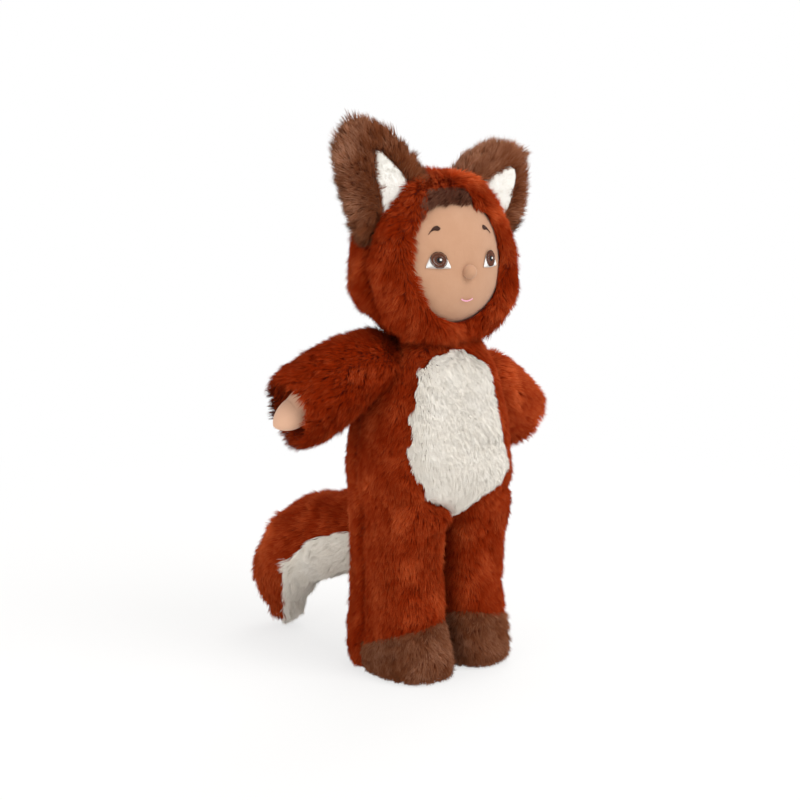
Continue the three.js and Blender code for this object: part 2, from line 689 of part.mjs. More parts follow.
function tailForm() {
  const curve = tailSpine();
  const count = 11;
  const sides = 16;
  const radii = new THREE.SplineCurve(TAIL_LINE.map((row, place) => new THREE.Vector2(place, row[2])));
  const rings = Array.from({ length: count }, (_, step) => {
    const share = step / (count - 1);
    const centre = curve.getPoint(share);
    const along = curve.getTangent(share);
    const up = vector(-along.z, 0, along.x);
    const radius = radii.getPoint(share).y;
    return Array.from({ length: sides }, (_, side) => {
      const angle = (2 * Math.PI * side) / sides;
      const across = vector(0, radius * Math.cos(angle), 0);
      return centre.clone().add(across).addScaledVector(up, radius * Math.sin(angle));
    });
  });
  return solidOf(closedLoft(rings)).add(ball(vector(0, 0, 0), TAIL_ROOT.radius));
}

// Room on the inner side of the tail's own line, where the pale underside lies.
function underTail(grown) {
  const steps = 11;
  const curve = tailSpine();
  const { frontX, rootZ, tipInset, low } = TAIL_SEAM;
  const shape = new THREE.Shape();
  shape.moveTo(frontX, low);
  shape.lineTo(frontX, rootZ + grown);
  for (let step = 0; step <= steps; step += 1) {
    const centre = curve.getPoint(step / steps);
    const along = curve.getTangent(step / steps);
    shape.lineTo(centre.x - along.z * grown, centre.z + along.x * grown);
  }
  shape.lineTo(TAIL_LINE.at(-1)[0] - tipInset + grown, low);
  shape.closePath();
  return alongY(shape, -SPREAD, SPREAD);
}

function tailPieces() {
  const whole = tailForm();
  return {
    tail_top: [cut(whole, underTail(SEAM_GAP / 2)), PLUSH.rust],
    tail_under: [whole.intersect(underTail(-SEAM_GAP / 2)), PLUSH.cream],
  };
}

// Assembly

function meshOf(name, [solid, material]) {
  const mesh = new THREE.Mesh(geometryOf(solid), material);
  mesh.name = name;
  return mesh;
}

function groupOf(pieces, rename = (name) => name) {
  const group = new THREE.Group();
  Object.entries(pieces).forEach(([name, piece]) => group.add(meshOf(rename(name), piece)));
  return group;
}

function placedBy(group, matrix) {
  matrix.decompose(group.position, group.quaternion, group.scale);
  return group;
}

function arm(side, pose) {
  const name = side < 0 ? "right" : "left";
  const place = armMatrix(side, pose);
  const pieces = { sleeve: [sleeve(place), PLUSH.rust], doll_arm: [armForm(0), CLOTH.skin] };
  return placedBy(groupOf(pieces, (piece) => `${piece}_${name}`), place);
}

function leg(side) {
  const name = side < 0 ? "right" : "left";
  const group = groupOf(legPieces(), (piece) => `${piece}_${name}`);
  group.scale.x = -side;
  return group;
}

function ear(name, shape) {
  return placedBy(groupOf(earPieces(shape), (piece) => `${piece}_${name}`), earMatrix(shape.place));
}

function tail() {
  const group = groupOf(tailPieces());
  group.position.copy(tailRootCentre);
  group.rotation.z = TAIL_ROOT.heading;
  return group;
}

const neck = { doll_neck: [ball(neckCentre, NECK_RADIUS), CLOTH.skin] };

const toy = new THREE.Group();
toy.add(
  groupOf(bodyPieces()),
  groupOf(neck),
  groupOf(headPieces()),
  ear("right", RIGHT_EAR),
  ear("left", LEFT_EAR),
  arm(-1, RIGHT_ARM),
  arm(1, LEFT_ARM),
  leg(-1),
  leg(1),
  tail(),
);

// The origin is on the floor under the middle of the toy's box.
const box = new THREE.Box3().setFromObject(toy, true);
const middle = box.getCenter(new THREE.Vector3());
toy.position.set(-middle.x, -middle.y, -box.min.z);

export default toy;
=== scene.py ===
"""A soft cloth doll in a hooded fox suit of long-pile plush.

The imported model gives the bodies, the joints and the space of every piece. Each class below is a
sub-assembly of the toy: it builds the cloth skins, grows their pile and lays their stitches. Sizes are in
millimetres in the toy's own frame, where the body's axis is x = y = 0, the floor is z = 0 and the face looks
along -Y, and they are turned to metres in the row frame when a mesh is made.
"""

import json
import logging
import math
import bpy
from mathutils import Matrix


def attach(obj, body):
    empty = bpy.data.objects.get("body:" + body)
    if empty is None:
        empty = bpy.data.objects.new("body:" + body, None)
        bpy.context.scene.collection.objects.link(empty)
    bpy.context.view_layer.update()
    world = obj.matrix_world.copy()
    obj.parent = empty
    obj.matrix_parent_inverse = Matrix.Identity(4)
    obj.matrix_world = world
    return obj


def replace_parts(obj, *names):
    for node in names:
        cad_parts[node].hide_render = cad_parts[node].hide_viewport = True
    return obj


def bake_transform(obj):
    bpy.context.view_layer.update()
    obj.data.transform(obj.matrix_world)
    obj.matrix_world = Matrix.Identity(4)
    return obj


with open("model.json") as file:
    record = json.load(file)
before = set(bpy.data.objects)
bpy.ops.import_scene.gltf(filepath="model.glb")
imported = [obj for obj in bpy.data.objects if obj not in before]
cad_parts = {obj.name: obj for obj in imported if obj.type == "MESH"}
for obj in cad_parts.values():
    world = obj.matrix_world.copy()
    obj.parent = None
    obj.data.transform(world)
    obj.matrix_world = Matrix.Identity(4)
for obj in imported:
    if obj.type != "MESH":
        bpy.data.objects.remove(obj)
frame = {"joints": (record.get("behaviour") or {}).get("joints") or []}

import zlib
from collections.abc import Callable, Sequence
from dataclasses import dataclass, replace
from enum import Enum

import bmesh
import bpy
import numpy as np
from mathutils import Vector
from mathutils.kdtree import KDTree

LOG = logging.getLogger("doll")

Array = np.ndarray
Comb = Callable[[Array, Array], Array]
Table = tuple[tuple[float, ...], ...]
Faces = list[tuple[int, ...]]
Socket = bpy.types.NodeSocket
Thing = bpy.types.Object

MM = 0.001
UP = np.array([0.0, 0.0, 1.0])
DOWN = -UP
BACK = np.array([0.0, 1.0, 0.0])
LEFTWARD = np.array([1.0, 0.0, 0.0])  # to the doll's own left
UV_NAME = "OFBake"
MOST_STRANDS = 19_900  # in one piece of pile
FLOOR_CLEARANCE = 0.3
FEWEST_STRANDS = 30  # in one piece of pile, or it is left out
FAR_OUTSIDE = 9.0  # the level of points past the end of a form


class Slot(Enum):
    """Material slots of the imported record."""

    RUST = "rust_plush"
    BROWN = "brown_plush"
    CREAM = "cream_plush"
    HAIR = "hair_plush"
    SKIN = "skin_cloth"
    LINING = "lining_plush"
    BROWN_THREAD = "brown_thread"
    WHITE_THREAD = "white_thread"
    PINK_THREAD = "pink_thread"


class Side(Enum):
    """The doll's own right and left, with the sign of x on that side."""

    RIGHT = -1
    LEFT = 1

    @property
    def word(self) -> str:
        """The side's name as pieces and bodies carry it."""
        return self.name.lower()


# Vectors and fields


def unit(vectors: Array) -> Array:
    """Vectors of length 1 in the same directions."""
    length = np.linalg.norm(vectors, axis=-1, keepdims=True)
    return vectors / np.maximum(length, 1e-9)


def along_skin(vectors: Array, normals: Array) -> Array:
    """The part of each vector that lies in the plane across its normal."""
    return vectors - np.sum(vectors * normals, axis=-1, keepdims=True) * normals


def smoothstep(values: Array, low: float, high: float) -> Array:
    """0 below low, 1 above high and an even S between them."""
    share = np.clip((values - low) / (high - low), 0.0, 1.0)
    return share * share * (3.0 - 2.0 * share)


def bell(distance: Array, width: float) -> Array:
    """1 where a distance is 0, and next to nothing where it is over twice the width."""
    return np.exp(-((distance / width) ** 2))


def circle(count: int) -> Array:
    """Cosine and sine of even steps round a full turn, (count, 2)."""
    angle = 2 * math.pi * np.arange(count) / count
    return np.stack([np.cos(angle), np.sin(angle)], axis=1)


def random_for(name: str) -> np.random.Generator:
    """The same stream of random numbers for a name on every run."""
    return np.random.default_rng(zlib.crc32(name.encode()))


def spline(points: Sequence[Sequence[float]], count: int) -> Array:
    """Points along a smooth curve through the given ones.

    Args:
        points: the points that the curve passes through.
        count: how many points to give back.

    Returns:
        The points of the curve.
    """
    given = np.asarray(points, float)
    padded = np.vstack([2 * given[0] - given[1], given, 2 * given[-1] - given[-2]])
    place = np.linspace(0, len(given) - 1, count)
    start = np.minimum(place.astype(int), len(given) - 2)
    t = (place - start)[:, None]
    a, b, c, d = (padded[start + offset] for offset in range(4))
    return 0.5 * (2 * b + (c - a) * t + (2 * a - 5 * b + 4 * c - d) * t**2 + (3 * b - a - 3 * c + d) * t**3)


@dataclass(frozen=True)
class SoftNoise:
    """A smooth random field made of sine waves in random directions.

    Attributes:
        wavelength: typical distance between two crests.
        name: picks the field, and always the same one.
        waves: how many waves are summed.
    """

    wavelength: float
    name: str
    waves: int = 9

    def values(self, points: Array, channels: int = 1) -> Array:
        """The field at some points.

        Args:
            points: where to read it, (n, 3).
            channels: how many independent fields to give.

        Returns:
            (n, channels) values, mostly between -1 and 1.
        """
        random = random_for(self.name)
        total = np.zeros((len(points), channels))
        for channel in range(channels):
            ways = unit(random.normal(size=(self.waves, 3)))
            scale = random.uniform(0.7, 1.5, self.waves) * 2 * math.pi / self.wavelength
            phase = random.uniform(0, 2 * math.pi, self.waves)
            total[:, channel] = np.sin(points @ (ways * scale[:, None]).T + phase).sum(axis=1)
        return total / math.sqrt(self.waves)


def outline_depth(points: Array, outline: Array) -> Array:
    """How deep plane points lie inside a closed outline.

    Args:
        points: (n, 2) points.
        outline: (m, 2) corners of the outline, not closed.

    Returns:
        The distance to the outline, positive inside and negative outside.
    """
    start, end = outline, np.roll(outline, -1, axis=0)
    edge = end - start
    offset = points[:, None, :] - start[None]
    share = np.clip((offset * edge).sum(-1) / (edge**2).sum(-1), 0, 1)
    distance = np.linalg.norm(offset - share[..., None] * edge, axis=-1).min(axis=1)
    z = points[:, None, 1]
    spans = (start[None, :, 1] > z) != (end[None, :, 1] > z)
    rise = np.where(edge[:, 1] == 0, 1e-12, edge[:, 1])
    crossing = start[:, 0] + (z - start[None, :, 1]) / rise * edge[:, 0]
    inside = (spans & (points[:, None, 0] < crossing)).sum(axis=1) % 2 == 1
    return np.where(inside, distance, -distance)


def turn_about(axis: int, angle: float) -> Array:
    """Rotation about X, Y or Z.

    Args:
        axis: 0, 1 or 2.
        angle: in radians.

    Returns:
        The matrix.
    """
    cos, sin = math.cos(angle), math.sin(angle)
    matrix = np.eye(3)
    one, other = (axis + 1) % 3, (axis + 2) % 3
    matrix[one, one] = matrix[other, other] = cos
    matrix[other, one], matrix[one, other] = sin, -sin
    return matrix


@dataclass(frozen=True)
class Place:
    """Where a sub-assembly's own frame lies in the toy's frame."""

    origin: Array
    turn: Array

    def out(self, points: Array) -> Array:
        """Points of the own frame in the toy's frame."""
        return points @ self.turn.T + self.origin

    def into(self, points: Array) -> Array:
        """Points of the toy's frame in the own frame."""
        return (points - self.origin) @ self.turn

    def way(self, vectors: Array) -> Array:
        """Directions of the own frame in the toy's frame."""
        return vectors @ self.turn.T


# Skins


def neck_joint() -> Array:
    """Where the neck turns, in millimetres in the row frame: on the body's own axis."""
    joint = next(row for row in frame["joints"] if row["name"] == "neck_turn")
    return np.array(joint["pos_m"]) / MM


BODY_AXIS = neck_joint() * np.array([1.0, 1.0, 0.0])


def to_row(points: Array) -> Array:
    """Points of the toy's frame, in millimetres, as metres in the row frame."""
    return (np.asarray(points, float) + BODY_AXIS) * MM


@dataclass
class Skin:
    """A mesh in the toy's frame: points and faces of three or four corners."""

    points: Array
    faces: Faces

    @property
    def triangles(self) -> Array:
        """The faces as triangles."""
        rows = [face[:3] for face in self.faces]
        rows += [(face[0], face[2], face[3]) for face in self.faces if len(face) == 4]
        return np.array(rows)

    @property
    def normals(self) -> Array:
        """Normals at the points, each weighted by the faces around it."""
        corners = self.triangles
        a, b, c = (self.points[corners[:, place]] for place in range(3))
        crossed = np.cross(b - a, c - a)
        total = np.zeros_like(self.points)
        for place in range(3):
            np.add.at(total, corners[:, place], crossed)
        return unit(total)

    def moved(self, place: Place) -> "Skin":
        """The same skin, carried from a sub-assembly's frame to the toy's."""
        return Skin(place.out(self.points), self.faces)

    def spread(self, density: float, random: np.random.Generator) -> tuple[Array, Array]:
        """Even random places on the skin.

        Args:
            density: places for each square millimetre.
            random: the stream of random numbers to draw from.

        Returns:
            The places and the normals there.
        """
        corners, normals = self.triangles, self.normals
        a, b, c = (self.points[corners[:, place]] for place in range(3))
        area = np.linalg.norm(np.cross(b - a, c - a), axis=1) / 2
        count = int(area.sum() * density)
        steps = (np.arange(count) + random.random(count)) / count
        face = np.searchsorted(np.cumsum(area) / area.sum(), steps).clip(0, len(area) - 1)
        u, v = np.sqrt(random.random(count)), random.random(count)
        weights = np.stack([1 - u, u * (1 - v), u * v], axis=1)
        chosen = corners[face]
        places = np.einsum("nk,nkd->nd", weights, self.points[chosen])
        ways = np.einsum("nk,nkd->nd", weights, normals[chosen])
        return places, unit(ways)


def lofted(rings: Array | Sequence[Array]) -> Skin:
    """Closed skin over rings of equal length, with both ends shut by a fan.

    Args:
        rings: (rows, sides, 3), each ring counter-clockwise seen from the last row.

    Returns:
        The skin.
    """
    rings = np.asarray(rings)
    rows, sides, _ = rings.shape
    points = np.vstack([rings.reshape(-1, 3), rings[0].mean(axis=0), rings[-1].mean(axis=0)])
    first, last = rows * sides, rows * sides + 1
    top = (rows - 1) * sides
    faces: Faces = []
    for side in range(sides):
        following = (side + 1) % sides
        faces.append((first, following, side))
        faces.append((last, top + side, top + following))
        for row in range(0, top, sides):
            faces.append((row + side, row + following, row + sides + following, row + sides + side))
    return Skin(points, faces)


def joined(skins: Sequence[Skin]) -> Skin:
    """Several skins as one, each with its own points.

    Args:
        skins: the skins.

    Returns:
        The one skin.
    """
    starts = np.cumsum([0] + [len(skin.points) for skin in skins])
    faces = []
    for skin, start in zip(skins, starts.tolist()):
        faces += [tuple(corner + start for corner in face) for face in skin.faces]
    return Skin(np.vstack([skin.points for skin in skins]), faces)


def in_scene(name: str, data: bpy.types.ID) -> Thing:
    """A new object in the scene.

    Args:
        name: its name.
        data: its mesh, lamp or camera.

    Returns:
        The object.
    """
    thing = bpy.data.objects.new(name, data)
    bpy.context.scene.collection.objects.link(thing)
    return thing


def mesh_object(name: str, points: Array, faces: Faces) -> Thing:
    """A smooth-shaded mesh object in the scene.

    Args:
        name: the object's name.
        points: its points in metres.
        faces: its faces.

    Returns:
        The object.
    """
    mesh = bpy.data.meshes.new(name)
    mesh.from_pydata(points.tolist(), [], faces)
    mesh.polygons.foreach_set("use_smooth", np.ones(len(mesh.polygons), bool))
    mesh.update()
    return in_scene(name, mesh)


def read_skin(mesh: bpy.types.Mesh) -> Skin:
    """Reads a mesh whose points are in the toy's frame.

    Args:
        mesh: the mesh.

    Returns:
        Its points and faces.
    """
    points = np.empty(len(mesh.vertices) * 3, np.float32)
    mesh.vertices.foreach_get("co", points)
    return Skin(points.reshape(-1, 3).astype(float), [tuple(face.vertices) for face in mesh.polygons])


def fused(skins: Sequence[Skin], voxel: float, smoothing: int) -> Skin:
    """One skin round several that overlap, with soft hollows where they meet.

    Args:
        skins: closed skins.
        voxel: size of the grid that joins them.
        smoothing: how often the result is relaxed.

    Returns:
        The joined skin.
    """
    whole = joined(skins)
    thing = mesh_object("fusing", whole.points, whole.faces)
    remesh = thing.modifiers.new("Remesh", "REMESH")
    remesh.mode = "VOXEL"
    remesh.voxel_size = voxel
    relax = thing.modifiers.new("Smooth", "SMOOTH")
    relax.factor = 0.5
    relax.iterations = smoothing
    shaped = thing.evaluated_get(bpy.context.evaluated_depsgraph_get())
    skin = read_skin(shaped.to_mesh())
    shaped.to_mesh_clear()
    mesh = thing.data
    bpy.data.objects.remove(thing)
    bpy.data.meshes.remove(mesh)
    return skin


def cut_by(skin: Skin, planes: Sequence[tuple[Array, Array]]) -> Skin:
    """What is left of a closed skin behind some planes, closed again along each cut.

    Args:
        skin: the closed skin.
        planes: a point and the normal of each plane, away from what stays.

    Returns:
        The part that stays.
    """
    mesh = bpy.data.meshes.new("cutting")
    mesh.from_pydata(skin.points.tolist(), [], skin.faces)
    work = bmesh.new()
    work.from_mesh(mesh)
    for point, normal in planes:
        geometry = work.verts[:] + work.edges[:] + work.faces[:]
        found = bmesh.ops.bisect_plane(
            work, geom=geometry, plane_co=Vector(point), plane_no=Vector(normal), clear_outer=True
        )
        rim = [part for part in found["geom_cut"] if isinstance(part, bmesh.types.BMEdge)]
        bmesh.ops.triangle_fill(work, use_beauty=True, edges=rim, normal=Vector(normal))
    bmesh.ops.recalc_face_normals(work, faces=work.faces[:])
    bmesh.ops.triangulate(work, faces=[face for face in work.faces if len(face.verts) > 4])
    work.to_mesh(mesh)
    work.free()
    left = read_skin(mesh)
    bpy.data.meshes.remove(mesh)
    return left


# Finishes


def linear(colour: int) -> tuple[float, float, float, float]:
    """A colour as shaders take it.

    Args:
        colour: written as 0xRRGGBB.

    Returns:
        Its linear values and an alpha of 1.
    """
    parts = [(colour >> shift & 255) / 255 for shift in (16, 8, 0)]
    bright = [part / 12.92 if part <= 0.04045 else ((part + 0.055) / 1.055) ** 2.4 for part in parts]
    return bright[0], bright[1], bright[2], 1.0


class Graph:
    """The node graph of one material, with a surface shader in it."""

    def __init__(self, name: str) -> None:
        """Starts an empty graph.

        Args:
            name: the material's name.
        """
        self.material = bpy.data.materials.new(name)
        self.material.use_nodes = True
        self.tree = self.material.node_tree
        self.tree.nodes.clear()
        self.surface = self.add("ShaderNodeBsdfPrincipled")
        output = self.add("ShaderNodeOutputMaterial")
        self.link(self.surface.outputs["BSDF"], output.inputs["Surface"])

    def add(self, kind: str, **settings: object) -> bpy.types.Node:
        """A new node.

        Args:
            kind: its type.
            settings: some of its own settings.

        Returns:
            The node.
        """
        node = self.tree.nodes.new(kind)
        for key, value in settings.items():
            setattr(node, key, value)
        return node

    def link(self, source: Socket, target: Socket) -> None:
        """Joins an output to an input."""
        self.tree.links.new(source, target)

    def put(self, node: bpy.types.Node, **values: object) -> None:
        """Sets sockets of a node, named with _ for each space."""
        for key, value in values.items():
            node.inputs[key.replace("_", " ")].default_value = value

    def plain(self, **values: object) -> None:
        """Sets sockets of the surface shader."""
        self.put(self.surface, **values)

    def ramp(self, source: Socket, stops: Sequence[tuple[float, int]]) -> Socket:
        """A colour ramp.

        Args:
            source: what drives it.
            stops: positions and colours.

        Returns:
            Its colour output.
        """
        node = self.add("ShaderNodeValToRGB")
        elements = node.color_ramp.elements
        while len(elements) < len(stops):
            elements.new(0.5)
        for element, (position, colour) in zip(elements, stops):
            element.position = position
            element.color = linear(colour)
        self.link(source, node.inputs["Fac"])
        return node.outputs["Color"]

    def mix(self, factor: Socket, one: Socket | int, other: Socket | int) -> Socket:
        """Mixes two colours.

        Args:
            factor: share of the other colour.
            one: a colour, as a socket or as 0xRRGGBB.
            other: likewise.

        Returns:
            The mixed colour.
        """
        node = self.add("ShaderNodeMix", data_type="RGBA")
        for value, socket in ((factor, node.inputs[0]), (one, node.inputs[6]), (other, node.inputs[7])):
            if isinstance(value, int):
                socket.default_value = linear(value)
            else:
                self.link(value, socket)
        return node.outputs[2]

    def place(self) -> Socket:
        """The surface's place in the row frame, in metres."""
        return self.add("ShaderNodeTexCoord").outputs["Object"]

    def noise(self, size: float, detail: float = 2.0, roughness: float = 0.5) -> Socket:
        """Cloudy noise.

        Args:
            size: width of its blots in millimetres.
            detail: how many finer layers it has.
            roughness: how strong they are.

        Returns:
            Its value output.
        """
        node = self.add("ShaderNodeTexNoise")
        self.put(node, Scale=1 / (size * MM), Detail=detail, Roughness=roughness)
        self.link(self.place(), node.inputs["Vector"])
        return node.outputs["Fac"]

    def bump(self, height: Socket, depth: float, under: Socket | None = None) -> Socket:
        """Raises the surface by a height map.

        Args:
            height: the map.
            depth: how high 1 stands, in millimetres.
            under: the normal that it adds to.

        Returns:
            The new normal, also linked to the surface.
        """
        node = self.add("ShaderNodeBump")
        self.put(node, Strength=1.0, Distance=depth * MM)
        self.link(height, node.inputs["Height"])
        if under is not None:
            self.link(under, node.inputs["Normal"])
        self.link(node.outputs["Normal"], self.surface.inputs["Normal"])
        return node.outputs["Normal"]


@dataclass(frozen=True)
class Finish:
    """The look of one plush, cloth or thread.

    Attributes:
        name: the material's name.
        slot: the record's slot.
    """

    name: str
    slot: Slot

    def material(self) -> bpy.types.Material:
        """The finish's material, made once.

        Returns:
            The material.
        """
        known = bpy.data.materials.get(self.name)
        if known is None:
            graph = Graph(self.name)
            self.paint(graph)
            known = graph.material
        return known

    def paint(self, graph: Graph) -> None:
        """Sets up the surface of the new material."""
        raise NotImplementedError


@dataclass(frozen=True)
class PileFinish(Finish):
    """Dyed pile: each strand runs from a dark root to a paler tip, and some are paler than others.
    The dark roots are painted shade deep in the pile, and part of the paleness is painted light.

    Attributes:
        dark, pale: colours of the darkest and the palest strands at root, middle and tip.
        sheen: strength of the soft edge glow.
    """

    dark: tuple[int, int, int]
    pale: tuple[int, int, int]
    sheen: float = 0.08

    def paint(self, graph: Graph) -> None:
        """Mixes both rows of colours by the strands' map, which holds tone across and height along.

        Args:
            graph: the new material's graph.
        """
        uv = graph.add("ShaderNodeUVMap", uv_map=UV_NAME)
        parts = graph.add("ShaderNodeSeparateXYZ")
        graph.link(uv.outputs["UV"], parts.inputs["Vector"])
        tone, height = parts.outputs["X"], parts.outputs["Y"]
        # the dark root end of each ramp is painted shade between the strands
        dark, pale = (graph.ramp(height, list(zip((0.0, 0.5, 1.0), row))) for row in (self.dark, self.pale))
        graph.link(graph.mix(tone, dark, pale), graph.surface.inputs["Base Color"])
        graph.plain(Roughness=0.85, Sheen_Weight=self.sheen, Sheen_Roughness=0.4)
        graph.plain(Sheen_Tint=linear(self.pale[2]), Specular_IOR_Level=0.03)


@dataclass(frozen=True)
class ClothFinish(Finish):
    """Knitted backing cloth or brushed doll cloth.

    Attributes:
        colour, shade: its own colour and that of its darker blots.
        grain, depth: width and depth of its loops.
        sheen: strength of the soft edge glow.
        blot, crease: width of its blots and of its soft creases.
    """

    colour: int
    shade: int
    grain: float = 0.5
    depth: float = 0.06
    sheen: float = 0.2
    blot: float = 9.0
    crease: float = 2.4

    def paint(self, graph: Graph) -> None:
        """Lays the darker shade over the colour in blots and between the loops.

        Args:
            graph: the new material's graph.
        """
        broad = graph.noise(self.blot, detail=3.0)
        fine = graph.noise(self.grain, detail=3.0, roughness=0.65)
        colour = graph.mix(broad, self.colour, self.shade)
        colour = graph.mix(graph.ramp(fine, [(0.35, 0x000000), (0.7, 0x5A5A5A)]), colour, self.shade)
        graph.link(colour, graph.surface.inputs["Base Color"])
        graph.bump(fine, self.depth, graph.bump(graph.noise(self.crease), self.depth * 2))
        graph.plain(Roughness=0.85, Sheen_Weight=self.sheen, Sheen_Roughness=0.5, Specular_IOR_Level=0.2)


@dataclass(frozen=True)
class ThreadFinish(Finish):
    """Glossy embroidery thread, twisted from finer ones.

    Attributes:
        colour, shade: its own colour and the one between its strands.
        twist, depth: width of the finer threads and depth of the hollows between them.
    """

    colour: int
    shade: int
    twist: float = 0.35
    depth: float = 0.03

    def paint(self, graph: Graph) -> None:
        """Lays the shade between the finer threads.

        Args:
            graph: the new material's graph.
        """
        fine = graph.noise(self.twist)
        graph.link(graph.mix(fine, self.colour, self.shade), graph.surface.inputs["Base Color"])
        graph.bump(fine, self.depth)
        graph.plain(Roughness=0.5, Sheen_Weight=0.05, Specular_IOR_Level=0.25)


RUST_PILE = PileFinish(
    "rust pile", Slot.RUST, (0x561202, 0x802002, 0x942804), (0x7A2004, 0xB83E10, 0xE07040), sheen=0.02
)
BROWN_PILE = PileFinish(
    "brown pile", Slot.BROWN, (0x441E0E, 0x68351C, 0x7A4428), (0x5E3822, 0x985E40, 0xC8967A), sheen=0.05
)
CREAM_PILE = PileFinish(
    "cream pile", Slot.CREAM, (0xE6DCCC, 0xF2EADC, 0xF6EEE2), (0xEEE6D8, 0xFAF4EA, 0xFEFAF2), sheen=0.05
)
HAIR_PILE = PileFinish("hair pile", Slot.HAIR, (0x24120C, 0x4E2C20, 0x62392A), (0x381E16, 0x744A38, 0x946A56))
WHITE_PILE = PileFinish(
    "white lining pile", Slot.LINING, (0xC8C4BA, 0xE2DED4, 0xE8E4DA), (0xDEDAD0, 0xF2EFE8, 0xFAF8F4), 0.1
)
RUST_CLOTH = ClothFinish("rust backing", Slot.RUST, 0x6C1C04, 0x561403, sheen=0.0)
BROWN_CLOTH = ClothFinish("brown backing", Slot.BROWN, 0x5C3826, 0x4A2C1E, sheen=0.0)
LINING_CLOTH = ClothFinish("white lining cloth", Slot.LINING, 0xF2F1EC, 0xE6E4DE, grain=0.8, depth=0.15)
SKIN_CLOTH = ClothFinish("skin cloth", Slot.SKIN, 0xB88F73, 0xAE8366, depth=0.09, sheen=0.15)
# the skin cloth made paler for the hands: painted light against the shade of the sleeve
HAND_CLOTH_WITH_PAINTED_LIGHT = ClothFinish("hand cloth", Slot.SKIN, 0xDCB196, 0xD2A588, depth=0.09, sheen=0.15)
BROWN_THREAD = ThreadFinish("brown thread", Slot.BROWN_THREAD, 0x6E3C24, 0x462212)
DARK_THREAD = ThreadFinish("dark brown thread", Slot.BROWN_THREAD, 0x42200F, 0x2A140A)
BLACK_THREAD = ThreadFinish("black thread", Slot.BROWN_THREAD, 0x140C0A, 0x0A0605)
WHITE_THREAD = ThreadFinish("white thread", Slot.WHITE_THREAD, 0xF4F4F2, 0xE2E2E0)
PINK_THREAD = ThreadFinish("pink thread", Slot.PINK_THREAD, 0xF4BCD6, 0xE8A2C2)


def dress(thing: Thing, finish: Finish) -> Thing:
    """Gives a piece its material, and reports it.

    Args:
        thing: the piece.
        finish: its finish.

    Returns:
        The piece.
    """
    thing.data.materials.append(finish.material())
    LOG.info("%s: %s, %d faces", thing.name, finish.name, len(thing.data.polygons))
    return thing


def cloth_piece(name: str, skin: Skin, finish: Finish) -> Thing:
    """A dressed piece from a skin in the toy's frame."""
    return dress(mesh_object(name, to_row(skin.points), skin.faces), finish)


def ride(pieces: Sequence[Thing], body: str, *nodes: str) -> None:
    """Lets pieces ride on a body.

    Args:
        pieces: the pieces.
        body: the body's name.
        nodes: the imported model's nodes whose place they take, if any.
    """
    for piece in pieces:
        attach(piece, body)
        if nodes:
            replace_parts(piece, *nodes)


def stuffed(name: str, skin: Skin, finish: Finish, fill: float, body: str, *nodes: str) -> None:
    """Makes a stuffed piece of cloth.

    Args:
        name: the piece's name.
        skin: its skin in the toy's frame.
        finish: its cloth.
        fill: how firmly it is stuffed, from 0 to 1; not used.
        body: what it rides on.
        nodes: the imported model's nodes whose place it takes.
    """
    piece = cloth_piece(name, skin, finish)
    ride([piece], body, *nodes)


# Pile


